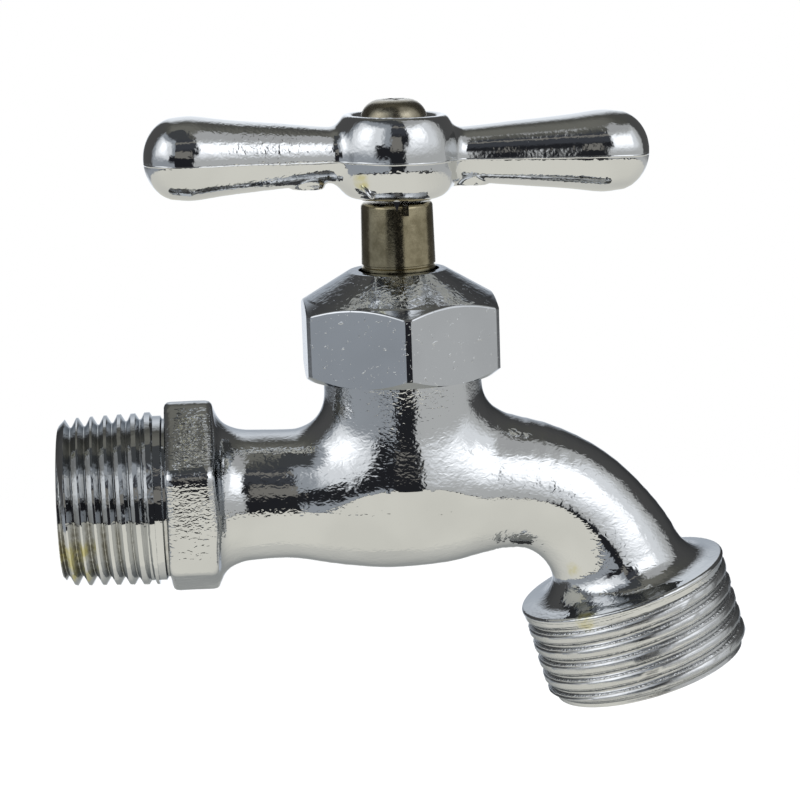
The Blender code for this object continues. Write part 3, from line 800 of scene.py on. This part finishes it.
def net(name, field, low, high, step, relax_rounds=3):
    """A closed mesh of quads over a field's surface."""
    low = np.array(low, float)
    counts = np.ceil((np.array(high) - low) / step).astype(int) + 1
    axes = [low[i] + step * np.arange(counts[i]) for i in range(3)]
    grid = np.stack(np.meshgrid(*axes, indexing="ij"), axis=-1)
    inside = (field(grid.reshape(-1, 3)) < 0).reshape(counts)
    cells = counts - 1
    total = sum(
        inside[i : i + cells[0], j : j + cells[1], k : k + cells[2]].astype(int)
        for i, j, k in itertools.product((0, 1), repeat=3)
    )
    active = (total > 0) & (total < 8)
    number = np.full(cells, -1)
    number[active] = np.arange(active.sum())
    points = low + step * (np.argwhere(active) + 0.5)
    quads = []
    for axis in range(3):
        across, up = np.eye(3, dtype=int)[(axis + 1) % 3], np.eye(3, dtype=int)[(axis + 2) % 3]
        changes = np.argwhere(np.diff(inside.astype(int), axis=axis) != 0)
        corners = [changes - across - up, changes - up, changes, changes - across]
        quad = np.stack([number[tuple(corner.T)] for corner in corners], axis=1)
        outwards = inside[tuple(changes.T)]
        quads.append(np.where(outwards[:, None], quad, quad[:, ::-1]))
    quads = np.concatenate(quads)
    points = project(field, points)
    ends = np.concatenate([quads[:, [i, (i + 1) % 4]] for i in range(4)])
    for _ in range(relax_rounds):
        sums = np.zeros_like(points)
        np.add.at(sums, ends[:, 0], points[ends[:, 1]])
        shares = np.bincount(ends[:, 0], minlength=len(points))[:, None]
        points = project(field, 0.5 * points + 0.5 * sums / shares, 1)
    points = project(field, points, 2)
    return mesh_object(name, points, quads.tolist())


def roughen(obj, amounts):
    """Moves each vertex along its normal by noise, as (size in mm, height in mm) pairs."""
    mesh = obj.data
    normals = [vertex.normal.copy() for vertex in mesh.vertices]
    for vertex, normal in zip(mesh.vertices, normals):
        shift = sum(height * noise.noise(vertex.co / (size * MM)) for size, height in amounts)
        vertex.co += normal * shift * MM


# ---- pieces

def along_inlet():
    return Matrix.Translation((-STEM_X, 0.0, 0.0)) @ rotated(90, "Y")


def along_outlet():
    end = Matrix.Translation((OUTLET_END[0], 0.0, OUTLET_END[1]))
    return end @ rotated(-OUTLET_TILT_DEG, "Y")


def pipe_thread_shape(height):
    """Crests are sharp at the end and cut flat towards the hex, where the roots rise."""
    share = min(max(height / PIPE_LENGTH, -0.2), 1.2)
    crest_share = 0.1 + 0.34 * max(share, 0.0) ** 1.5
    depth = (0.9 - crest_share) * PIPE_PITCH / FLANK
    return PIPE_CREST_R + PIPE_TAPER * height, depth, crest_share


def hose_thread_shape(height):
    return HOSE_CREST_R, HOSE_DEPTH, HOSE_CREST


def inlet_sleeve():
    place = along_inlet()
    threads = threaded("inlet_threads", 0.0, PIPE_LENGTH, PIPE_PITCH, pipe_thread_shape, place)
    envelope = turned("inlet_envelope", (
        (PIPE_CREST_R + ENVELOPE_PAST, PIPE_LENGTH),
        (PIPE_CREST_R + ENVELOPE_PAST, PIPE_CHAMFER + ENVELOPE_PAST),
        (PIPE_CREST_R - PIPE_CHAMFER, 0.0),
    ), ENVELOPE_STEPS, place)
    shoulder = turned("inlet_shoulder", (
        (PIPE_GROOVE_R, HEX_START + 1.0),
        (PIPE_GROOVE_R, HEX_START - PIPE_GROOVE[1]),
        (PIPE_SHOULDER_R, HEX_START - PIPE_GROOVE[0]),
        (PIPE_SHOULDER_R, PIPE_LENGTH - 1.0),
        (PIPE_SHOULDER_R - PIPE_RUNOUT, PIPE_LENGTH - 1.0 - PIPE_RUNOUT),
    ), SHOULDER_STEPS, place)
    boolean(threads, "INTERSECT", envelope)
    return boolean(threads, "UNION", shoulder)


def outlet_sleeve():
    place = along_outlet()
    threads = threaded("outlet_threads", 0.0, HOSE_LENGTH, HOSE_PITCH, hose_thread_shape, place)
    envelope = turned("outlet_envelope", (
        (HOSE_CREST_R + ENVELOPE_PAST, HOSE_LENGTH + 0.9),
        (HOSE_CREST_R + ENVELOPE_PAST, HOSE_LIP + HOSE_CHAMFER + ENVELOPE_PAST),
        (HOSE_CREST_R - HOSE_CHAMFER, HOSE_LIP),
        (HOSE_CREST_R - HOSE_CHAMFER, 0.0),
    ), ENVELOPE_STEPS, place)
    return boolean(threads, "INTERSECT", envelope)


def flange_rim():
    """The crisp edge of the flange, over the one cast with the spout."""
    inner = FLANGE_R - FLANGE_EDGE_R
    foot = HOSE_LENGTH + 0.1
    proud = FLANGE_TOP + RIM_PROUD
    return turned("flange_rim", (
        (inner - RIM_REACH, FLANGE_TOP - 1.0),
        (inner - RIM_REACH, FLANGE_TOP + FLANGE_SLOPE * RIM_REACH - RIM_DIP),
        *arc((inner, proud - FLANGE_EDGE_R), FLANGE_EDGE_R, 82, -60, 9),
        (inner, foot),
    ), 2 * TURN_STEPS, along_outlet())


def bore(name, radius, depth, chamfer, place):
    """A cutter for a round hole that starts with a chamfer."""
    return turned(name, (
        (radius, depth),
        (radius, chamfer - BORE_PAST),
        (radius + chamfer, -BORE_PAST),
    ), TURN_STEPS, place)


def make_body():
    body = net("tap_body", cast_body_field(), *BODY_BOX, CAST_STEP)
    roughen(body, BODY_ROUGHNESS)
    inlet_bore = bore(
        "inlet_bore", INLET_BORE_R, HEX_START + 6.0, INLET_BORE_CHAMFER, along_inlet()
    )
    outlet_bore = bore(
        "outlet_bore", OUTLET_BORE_R, OUTLET_BORE_DEPTH, OUTLET_BORE_CHAMFER, along_outlet()
    )
    for sleeve in (inlet_sleeve(), outlet_sleeve(), flange_rim()):
        boolean(body, "UNION", sleeve)
    boolean(body, "DIFFERENCE", inlet_bore, outlet_bore)
    finished(body, "valve_body", "valve_body", "chrome_body")
    mark_machined(body)


def mark_machined(body):
    """Gives the threaded ends the smoother material of a cut surface."""
    mesh = body.data
    mesh.materials.append(MATERIALS["chrome_thread"])
    mesh.materials.append(MATERIALS["chrome_hose_thread"])
    centres = np.empty(len(mesh.polygons) * 3)
    mesh.polygons.foreach_get("center", centres)
    points = centres.reshape(-1, 3) / MM - (STEM_X, 0.0, 0.0)
    inlet_side = inlet_frame(points)[1] < HEX_START
    outlet_side = outlet_frame(points)[1] < HOSE_LENGTH + 0.2
    slots = np.where(inlet_side, 1, np.where(outlet_side & (points[:, 0] > 0), 2, 0))
    mesh.polygons.foreach_set("material_index", slots.astype(np.int32))


def nut_blank():
    """Hexagon bar stock with its corners turned off."""
    turn = math.radians(NUT_TURN_DEG)
    facing = math.acos(NUT_ACROSS_FLATS / 2 / NUT_CORNERS_CUT_R)
    outline = []
    for side in range(6):
        for sign in (-1, 1):
            angle = turn + side * math.pi / 3 + sign * facing
            outline.append((
                NUT_SHIFT + NUT_CORNERS_CUT_R * math.cos(angle),
                NUT_CORNERS_CUT_R * math.sin(angle),
            ))
    low, high = NUT_LOW[2] - 1.0, NUT_HIGH[2] + 1.0
    count = len(outline)
    points = [(x, y, z) for z in (low, high) for x, y in outline]
    sides = [(i, (i + 1) % count, count + (i + 1) % count, count + i) for i in range(count)]
    caps = [tuple(reversed(range(count))), tuple(range(count, 2 * count))]
    return mesh_object("nut", points, sides + caps)


def make_nut():
    low, high = NUT_LOW[2], NUT_HIGH[2]
    wide = NUT_CORNERS_CUT_R + 1.0
    steep = (high - NUT_CONE_FOOT) / (NUT_CONE_FOOT_R - NUT_TOP_R)
    chamfer = NUT_CHAMFER_RISE / (NUT_CONE_FOOT_R - NUT_CHAMFER_R)
    turn = rotated(NUT_TURN_DEG, "Z")
    place = Matrix.Translation((NUT_SHIFT, 0.0, 0.0)) @ turn
    cone = turned("nut_cone", (
        (NUT_TOP_R, high),
        (wide, high - (wide - NUT_TOP_R) * steep),
        (wide, low - 2.0),
    ), 2 * TURN_STEPS, place)
    foot = turned("nut_foot", (
        (wide, high + 1.0),
        (wide, low + (wide - NUT_CHAMFER_R) * chamfer),
        (NUT_CHAMFER_R, low),
    ), 2 * TURN_STEPS, place)
    hollow = turned("nut_hollow", (
        (NUT_HOLE_R, high + 1.0),
        (NUT_HOLE_R, NUT_GLAND_TOP),
        (NUT_GLAND_R, NUT_GLAND_TOP),
        (NUT_GLAND_R, NUT_CAVITY_TOP),
        (NUT_CAVITY_R, NUT_CAVITY_TOP),
        (NUT_CAVITY_R, low - 1.0),
    ))
    nut = boolean(nut_blank(), "INTERSECT", cone)
    soften(nut, NUT_EDGE_R)
    boolean(nut, "INTERSECT", foot)
    boolean(nut, "DIFFERENCE", hollow)
    flatten(nut)
    finished(nut, "packing_nut", "valve_body", "chrome_nut")


def casting_scar():
    """The torn stub of the casting's gate, low on the hub."""
    tilt = rotated(45, "Y") @ rotated(-28, "Z")
    place = Matrix.Translation((0.0, 0.0, HANDLE_Z)) @ Matrix.Translation(SCAR_PLACE) @ tilt
    profile = [(math.sin(a), math.cos(a)) for a in np.linspace(0, math.pi, 18)[1:-1]]
    sized = place @ Matrix.Diagonal((*SCAR_HALF, 1.0))
    stub = turned("casting_scar", profile, 24, sized, tips=(1.0, -1.0))
    roughen(stub, SCAR_ROUGHNESS)
    return stub


def casting_flap():
    """A thin point of metal, left hanging from the hub over the stem's front."""
    top, bottom = FLAP_HEIGHTS
    left, right = FLAP_SIDES
    outline = ((left, top), (right, top), ((left + right) / 2, bottom))
    points = [(x, y, HANDLE_Z + z) for y in FLAP_DEPTHS for x, z in outline]
    faces = [(2, 1, 0), (3, 4, 5), (0, 1, 4, 3), (1, 2, 5, 4), (2, 0, 3, 5)]
    return mesh_object("casting_flap", points, faces)


def make_handle():
    handle = net("tee_handle", handle_field(), *HANDLE_BOX, HANDLE_STEP)
    roughen(handle, HANDLE_ROUGHNESS)
    boolean(handle, "UNION", casting_scar(), casting_flap())
    finished(handle, "handle", "spindle", "chrome_handle")


def make_stem():
    stem = turned("spindle_stem", (
        *arc((STEM_TOP_R - STEM_CHAMFER, STEM_TOP - STEM_CHAMFER), STEM_CHAMFER, 90, 0, 6),
        (STEM_R, STEM_GROOVE_Z + 0.45),
        (STEM_R - STEM_GROOVE_DEPTH, STEM_GROOVE_Z + 0.35),
        (STEM_R - STEM_GROOVE_DEPTH, STEM_GROOVE_Z + 0.15),
        (STEM_R, STEM_GROOVE_Z),
        (STEM_R, STEM_THREAD_TOP),
        (STEM_THREAD_R - 0.5, STEM_THREAD_TOP),
        (STEM_THREAD_R - 0.5, STEM_FOOT),
        (STEM_SPIGOT_R, STEM_FOOT),
        (STEM_SPIGOT_R, STEM_SPIGOT_LOW),
    ))
    nub = block("nub", NUB_HALF, Matrix.Translation(NUB_PLACE))
    boolean(stem, "UNION", nub)
    finished(stem, "stem", "spindle", "nickel_stem")


def make_screw():
    top = SCREW_HIGH[2]
    spread = SCREW_HEAD_R - SCREW_FLAT_R
    dome = [
        (SCREW_FLAT_R + spread * math.sin(a), SCREW_HEAD_SIDE + (top - SCREW_HEAD_SIDE) * math.cos(a))
        for a in np.linspace(0, math.pi / 2, 14)
    ]
    screw = turned("screw", (
        *dome,
        (SCREW_HEAD_R, SCREW_HEAD_BOTTOM),
        (SCREW_SHANK_R, SCREW_HEAD_BOTTOM),
        (SCREW_SHANK_R, SCREW_LOW[2]),
    ))
    bars = []
    for turn in (RECESS_TURN_DEG, RECESS_TURN_DEG + 90):
        place = Matrix.Translation((0, 0, top)) @ rotated(turn, "Z")
        bars.append(block("recess", RECESS_SIZE, place))
    boolean(screw, "DIFFERENCE", *bars)
    finished(screw, "handle_screw", "spindle", "nickel_screw")


def block(name, half, place):
    """A box from its half sizes."""
    corners = [place @ Vector(np.array(signs) * half) for signs in itertools.product((-1, 1), repeat=3)]
    faces = [(0, 1, 3, 2), (4, 6, 7, 5), (0, 4, 5, 1), (2, 3, 7, 6), (0, 2, 6, 4), (1, 5, 7, 3)]
    return mesh_object(name, corners, faces)


def finished(obj, node, body, slot):
    """Gives a piece its slot's material and its body, in place of its CAD node."""
    obj.data.materials.clear()
    obj.data.materials.append(MATERIALS[slot])
    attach(obj, body)
    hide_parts(node)


# ---- materials

class Graph:
    """Short calls for making and linking the nodes of one tree."""

    def __init__(self, tree):
        self.tree = tree

    def add(self, kind, inputs=(), **settings):
        node = self.tree.nodes.new(kind)
        for name, value in settings.items():
            setattr(node, name, value)
        for key, value in dict(inputs).items():
            self.put(node.inputs[key], value)
        return node

    def put(self, socket, value):
        if isinstance(value, bpy.types.NodeSocket):
            self.tree.links.new(value, socket)
        else:
            flat_colour = socket.type == "RGBA" and len(value) == 3
            socket.default_value = (*value, 1.0) if flat_colour else value

    def shade(self, name, value):
        """Sets or links an input of the material's shader."""
        self.put(self.tree.nodes["Principled BSDF"].inputs[name], value)

    def maths(self, operation, *values):
        return self.add("ShaderNodeMath", enumerate(values), operation=operation).outputs[0]

    def vector(self, operation, *values):
        node = self.add("ShaderNodeVectorMath", enumerate(values), operation=operation)
        number = operation in ("LENGTH", "DISTANCE", "DOT_PRODUCT")
        return node.outputs["Value" if number else "Vector"]

    def ramp(self, value, low, high, to_low=0.0, to_high=1.0):
        """Goes smoothly from to_low to to_high as value goes from low to high."""
        node = self.add("ShaderNodeMapRange", {0: value, 1: low, 2: high, 3: to_low, 4: to_high})
        node.interpolation_type = "SMOOTHSTEP"
        return node.outputs[0]

    def band(self, value, edges):
        """Rises from 0 to 1 between the first two edges and falls between the last two."""
        rise = self.ramp(value, edges[0], edges[1])
        return self.maths("MULTIPLY", rise, self.ramp(value, edges[2], edges[3], 1.0, 0.0))

    def mix(self, share, a, b):
        """A colour that goes from a to b."""
        return self.add("ShaderNodeMix", {0: share, 6: a, 7: b}, data_type="RGBA").outputs[2]

    def noise(self, vector, size, detail=3.0, roughness=0.5, distortion=0.0):
        """Noise whose features are about size millimetres across."""
        inputs = {"Vector": vector, "Scale": 1 / (size * MM), "Detail": detail}
        inputs.update({"Roughness": roughness, "Distortion": distortion})
        return self.add("ShaderNodeTexNoise", inputs).outputs["Fac"]

    def bump(self, height, amount, normal=None):
        """A bump as deep as amount millimetres."""
        inputs = {"Height": height, "Strength": 1.0, "Distance": amount * MM}
        if normal is not None:
            inputs["Normal"] = normal
        return self.add("ShaderNodeBump", inputs).outputs["Normal"]

    def near(self, vector, point, reach):
        """One at a point, falling to nothing at a reach in millimetres."""
        distance = self.vector("DISTANCE", vector, [c * MM for c in point])
        return self.ramp(distance, 0.0, reach * MM, 1.0, 0.0)


def new_material(name):
    """A new material's graph, and the object's coordinates in it."""
    material = bpy.data.materials.new(name)
    material.use_nodes = True
    MATERIALS[name] = material
    graph = Graph(material.node_tree)
    return graph, graph.add("ShaderNodeTexCoord").outputs["Object"]


def chrome_tone(graph, coords, colour, stains):
    """Chrome in patches of two tones, with thin yellow stains."""
    patches = graph.ramp(graph.noise(coords, 9.0, 2.0), 0.35, 0.7)
    tone = graph.mix(patches, colour, [c * 0.93 for c in colour])
    cover = 0.0
    for point, reach in stains:
        mottle = graph.noise(coords, 1.2, 4.0)
        spot = graph.maths("MULTIPLY", graph.near(coords, point, reach), mottle)
        cover = graph.maths("MAXIMUM", cover, spot)
    if stains:
        tone = graph.mix(graph.ramp(cover, 0.15, 0.6, 0.0, 0.75), tone, STAIN)
    return tone


def chrome(name):
    """Bright chrome over a casting: ripples, fine grain, stains and coarse patches. It gives the
    graph, the coordinates, the colour and the bumps, for a finish of its own to build on."""
    colour, ripple, grain, rough, stretch, stains, coarse = CHROMES[name]
    graph, coords = new_material(name)
    graph.shade("Metallic", 1.0)
    graph.shade("Specular Tint", EDGE_TINT)
    tone = chrome_tone(graph, coords, colour, stains)
    graph.shade("Base Color", tone)
    wear = graph.noise(coords, 2.5, 4.0, 0.6)
    graph.shade("Roughness", graph.ramp(wear, 0.3, 0.75, *rough))
    drawn = graph.vector("MULTIPLY", coords, (1.0, 1.0, stretch))
    waves = graph.bump(graph.noise(drawn, 1.0, 1.0, 0.45, 0.8), ripple)
    fine = graph.bump(graph.noise(drawn, 0.42, 0.8, 0.4), grain, waves)
    share = 0.0
    for point, reach, strength in coarse:
        patch = graph.maths("MULTIPLY", graph.near(coords, point, reach), strength)
        share = graph.maths("MAXIMUM", share, patch)
    if coarse:
        lumps = graph.maths("MULTIPLY", graph.noise(drawn, 0.62, 1.0, 0.5, 0.6), share)
        fine = graph.bump(lumps, COARSE_HEIGHT, fine)
    graph.shade("Normal", fine)
    return graph, coords, tone, fine


def chrome_handle():
    """Chrome over the handle's casting, with the fine seam left where the mould parted."""
    graph, coords, _, fine = chrome("chrome_handle")
    graph.shade("Specular Tint", HANDLE_EDGE_TINT)
    middle = (STEM_X * MM, 0.0, (HANDLE_Z - PARTING_DROP) * MM)
    lean = math.radians(HANDLE_LEAN_DEG)
    slope = (math.sin(lean), 0.0, math.cos(lean))
    height = graph.vector("DOT_PRODUCT", graph.vector("SUBTRACT", coords, middle), slope)
    wander = graph.maths("MULTIPLY", graph.noise(coords, 3.0, 3.0), 0.3 * MM)
    off = graph.maths("ABSOLUTE", graph.maths("ADD", height, wander))
    seam = graph.ramp(off, SEAM_HALF[0] * MM, SEAM_HALF[1] * MM, 1.0, 0.0)
    graph.shade("Normal", graph.bump(seam, 0.045, fine))


def chrome_thread():
    """Chrome over the inlet's cut thread, with painted shade darkening its grooves, most towards the
    bottom.
    """
    graph, coords, clean, _ = chrome("chrome_thread")
    across = graph.vector("LENGTH", graph.vector("MULTIPLY", coords, (0.0, 1.0, 1.0)))
    groove = graph.ramp(across, (PIPE_CREST_R - 0.9) * MM, (PIPE_CREST_R - 0.25) * MM, 1.0, 0.0)
    spots = graph.ramp(graph.noise(coords, 0.7, 4.0, 0.7), 0.3, 0.65, 0.25, 0.85)
    height = graph.add("ShaderNodeSeparateXYZ", {0: coords}).outputs[2]
    low = graph.ramp(height, -4.0 * MM, 1.5 * MM, 1.0, 0.3)
    # Painted shade: the grooves darkened in spots, more towards the bottom
    groove_shade = graph.maths("MULTIPLY", graph.maths("MULTIPLY", groove, spots), low)
    graph.shade("Base Color", graph.mix(groove_shade, clean, GROOVE_SHADE))


def chrome_hose_thread():
    """Chrome over the machined outlet: duller, with the fine rings and chatter a tool leaves."""
    graph, coords, _, fine = chrome("chrome_hose_thread")
    tilt = math.radians(OUTLET_TILT_DEG)
    axis = (-math.sin(tilt), 0.0, math.cos(tilt))
    along = graph.vector("DOT_PRODUCT", coords, axis)
    lifted = graph.add("ShaderNodeCombineXYZ", {2: along}).outputs[0]
    slow = graph.vector("MULTIPLY", coords, (0.07, 0.07, 0.07))
    rings = graph.noise(graph.vector("ADD", lifted, slow), 0.28, 2.0, 0.6)
    ringed = graph.bump(rings, 0.035, fine)
    end = ((OUTLET_END[0] + STEM_X) * MM, 0.0, OUTLET_END[1] * MM)
    arm = graph.vector("CROSS_PRODUCT", graph.vector("SUBTRACT", coords, end), axis)
    edges = [(HOSE_CREST_R + step) * MM for step in CHATTER_STEPS]
    chatter = graph.band(graph.vector("LENGTH", arm), edges)
    marks = graph.maths("MULTIPLY", graph.noise(coords, 0.3, 1.0), chatter)
    graph.shade("Normal", graph.bump(marks, 0.16, ringed))


def chrome_nut():
    """Chrome over a machined nut: smooth flats, and a cone left rippled by the tool."""
    graph, coords, _, fine = chrome("chrome_nut")
    centred = graph.vector("ADD", coords, (-STEM_X * MM, 0.0, 0.0))
    across = graph.vector("LENGTH", graph.vector("MULTIPLY", centred, (1.0, 1.0, 0.0)))
    low, high = NUT_CONE_MARKS_R
    on_cone = graph.ramp(across, low * MM, high * MM, 1.0, 0.0)
    drawn = graph.vector("MULTIPLY", coords, (1.0, 1.0, 0.45))
    marks = graph.maths("MULTIPLY", graph.noise(drawn, 1.0, 1.5, 0.5, 0.6), on_cone)
    dents = graph.ramp(graph.noise(coords, 0.6, 1.0, 0.5, 1.0), 0.68, 0.76)
    tooled = graph.bump(marks, 0.07, fine)
    graph.shade("Normal", graph.bump(dents, 0.02, tooled))


def metal(name, colour, dark, roughness):
    """Plain satin metal: brass or nickel, with a fine cast grain and darker blotches."""
    graph, coords = new_material(name)
    graph.shade("Metallic", 1.0)
    blotches = graph.ramp(graph.noise(coords, 1.8, 5.0, 0.65), 0.3, 0.75)
    graph.shade("Base Color", graph.mix(blotches, colour, dark))
    speckle = graph.noise(coords, 0.25, 3.0, 0.6)
    graph.shade("Roughness", graph.ramp(speckle, 0.25, 0.8, roughness - 0.08, roughness + 0.1))
    graph.shade("Normal", graph.bump(speckle, METAL_GRAIN))


def soft_matter(name, colour, pale, roughness):
    """Rubber or graphite packing, with a mottled, dull surface."""
    graph, coords = new_material(name)
    mottle = graph.noise(coords, 0.8, 4.0, 0.6)
    graph.shade("Base Color", graph.mix(graph.ramp(mottle, 0.35, 0.75), colour, pale))
    graph.shade("Roughness", graph.ramp(mottle, 0.3, 0.8, roughness - 0.1, roughness + 0.1))
    graph.shade("Normal", graph.bump(mottle, 0.04))


def make_materials():
    chrome("chrome_body")
    for finish in (chrome_thread, chrome_hose_thread, chrome_nut, chrome_handle):
        finish()
    for name, values in METALS.items():
        metal(name, *values)
    for name, values in SOFT_MATTER.items():
        soft_matter(name, *values)


# ---- studio

class Studio(Graph):
    """The world's nodes, with the angles of each direction seen from the object."""

    def __init__(self, tree):
        super().__init__(tree)
        direction = self.add("ShaderNodeTexCoord").outputs["Generated"]
        x, y, z = self.add("ShaderNodeSeparateXYZ", {0: direction}).outputs
        self.height = self.maths("DEGREES", self.maths("ARCSINE", z))
        away = self.maths("MULTIPLY", y, -1.0)
        self.around = self.maths("DEGREES", self.maths("ARCTAN2", x, away))
        self.to_side = self.maths("ABSOLUTE", self.around)

    def patch(self, room, tone, round_edges, height_edges, around=None):
        """The room with another tone where both bands of angles hold."""
        beside = self.band(around or self.around, round_edges)
        share = self.maths("MULTIPLY", beside, self.band(self.height, height_edges))
        return self.mix(share, room, tone)


def walls(sky):
    """The walls with a soft box on each side, the backdrop, and the dark gap round the camera."""
    sides = sky.mix(sky.ramp(sky.around, *SIDES_MEET), LEFT_WALL, RIGHT_WALL)
    room = sky.mix(sky.ramp(sky.to_side, *BACKDROP_ROUND), sides, BACKDROP)
    room = sky.patch(room, BACK_CORNER, CORNER_ROUND, CORNER_HEIGHTS, sky.to_side)
    for round_edges, height_edges, tone in WALL_PATCHES:
        room = sky.patch(room, tone, round_edges, height_edges)
    dark = sky.mix(sky.ramp(sky.height, *DARK_ROOM_LIGHTENS), DARK_ROOM, DARK_ROOM_HIGH)
    dark = sky.patch(dark, TRIPOD, TRIPOD_ROUND, TRIPOD_HEIGHTS)
    dark = sky.mix(sky.band(sky.height, GLEAM_HEIGHTS), dark, TRIPOD)
    low_gap, high_gap = (sky.band(sky.around, edges) for edges in (FRONT_GAP_LOW, FRONT_GAP_HIGH))
    return sky.mix(sky.mix(sky.ramp(sky.height, *GAP_WIDENS), low_gap, high_gap), room, dark)


def add_ceiling(sky, room):
    """The ceiling, which starts more softly behind the object, and the high wall on the right."""
    lit = sky.mix(sky.ramp(sky.height, *CEILING_LIGHTENS), OVERHEAD_EDGE, OVERHEAD)
    ceiling = sky.mix(sky.band(sky.around, DARK_OVERHEAD_ROUND), lit, OVERHEAD_DARK)
    front = sky.mix(sky.ramp(sky.height, *CEILING_EDGE), room, ceiling)
    back = sky.mix(sky.ramp(sky.height, *CEILING_EDGE_BEHIND), room, ceiling)
    room = sky.mix(sky.ramp(sky.to_side, *BEHIND_ROUND), front, back)
    return sky.patch(room, HIGH_WALL, HIGH_WALL_ROUND, HIGH_WALL_HEIGHTS)


def add_floor_reflection(sky, room):
    """The pale floor below, with a dark line at its far edge on the camera's side."""
    floor = sky.mix(sky.ramp(sky.to_side, *FAR_FLOOR_ROUND), FLOOR_TONE, FAR_FLOOR_TONE)
    room = sky.mix(sky.ramp(sky.height, *FLOOR_EDGE, 1.0, 0.0), room, floor)
    front = sky.ramp(sky.to_side, *FLOOR_LINE_ROUND, 1.0, 0.0)
    line = sky.maths("MULTIPLY", sky.band(sky.height, FLOOR_LINE), front)
    return sky.mix(line, room, DARK_ROOM)


def make_world():
    """A white sweep for the camera, and for reflections a room with a soft box on each side."""
    world = bpy.data.worlds.new("studio")
    bpy.context.scene.world = world
    world.use_nodes = True
    world.node_tree.nodes.clear()
    sky = Studio(world.node_tree)
    room = add_floor_reflection(sky, add_ceiling(sky, walls(sky)))
    seen = sky.add("ShaderNodeLightPath").outputs["Is Camera Ray"]
    background = sky.add("ShaderNodeBackground", {"Color": sky.mix(seen, room, WHITE)})
    sky.add("ShaderNodeOutputWorld", {"Surface": background.outputs[0]})


def make_floor():
    """A pale round floor under the object, which thins out into the white around it."""
    work = bmesh.new()
    bmesh.ops.create_circle(work, cap_ends=True, segments=TURN_STEPS, radius=FLOOR_R * MM)
    floor = built("floor", work)
    floor.location = (STEM_X * MM, 0.0, FLOOR_Z * MM)
    graph, coords = new_material("pale_floor")
    graph.shade("Base Color", PALE_FLOOR)
    graph.shade("Roughness", 0.9)
    distance = graph.vector("LENGTH", coords)
    graph.shade("Alpha", graph.ramp(distance, *(r * MM for r in FLOOR_FADE), 1.0, 0.0))
    floor.data.materials.append(MATERIALS["pale_floor"])
    floor.visible_glossy = False


def make_light():
    """One broad soft lamp overhead, which lights the floor evenly."""
    data = bpy.data.lights.new("overhead", "SUN")
    data.energy = LAMP_STRENGTH
    data.angle = math.radians(LAMP_SPREAD_DEG)
    linked("overhead", data).visible_glossy = False


def make_camera():
    """A camera at the viewing angle, aimed a little off the stem's axis and rolled."""
    data = bpy.data.cameras.new("camera")
    data.sensor_width = SENSOR_WIDTH
    data.lens = CAMERA_LENS
    camera = linked("camera", data)
    turn = rotated(CAMERA_AZIMUTH_DEG, "Z") @ rotated(90 - CAMERA_ELEVATION_DEG, "X")
    turn = turn @ rotated(-CAMERA_ROLL_DEG, "Z")
    place = turn @ Vector((TARGET_SIDE, TARGET_UP, CAMERA_DISTANCE)) + Vector((STEM_X, 0.0, 0.0))
    camera.matrix_world = Matrix.Translation(place * MM) @ turn
    bpy.context.scene.camera = camera


def paint_kept_nodes():
    for material, nodes in KEPT_NODES.items():
        for node in nodes:
            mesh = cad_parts[node].data
            mesh.materials.clear()
            mesh.materials.append(MATERIALS[material])


bpy.context.scene.view_settings.view_transform = "Standard"
make_materials()
make_world()
make_floor()
make_light()
make_camera()
make_body()
make_nut()
make_handle()
make_stem()
make_screw()
paint_kept_nodes()
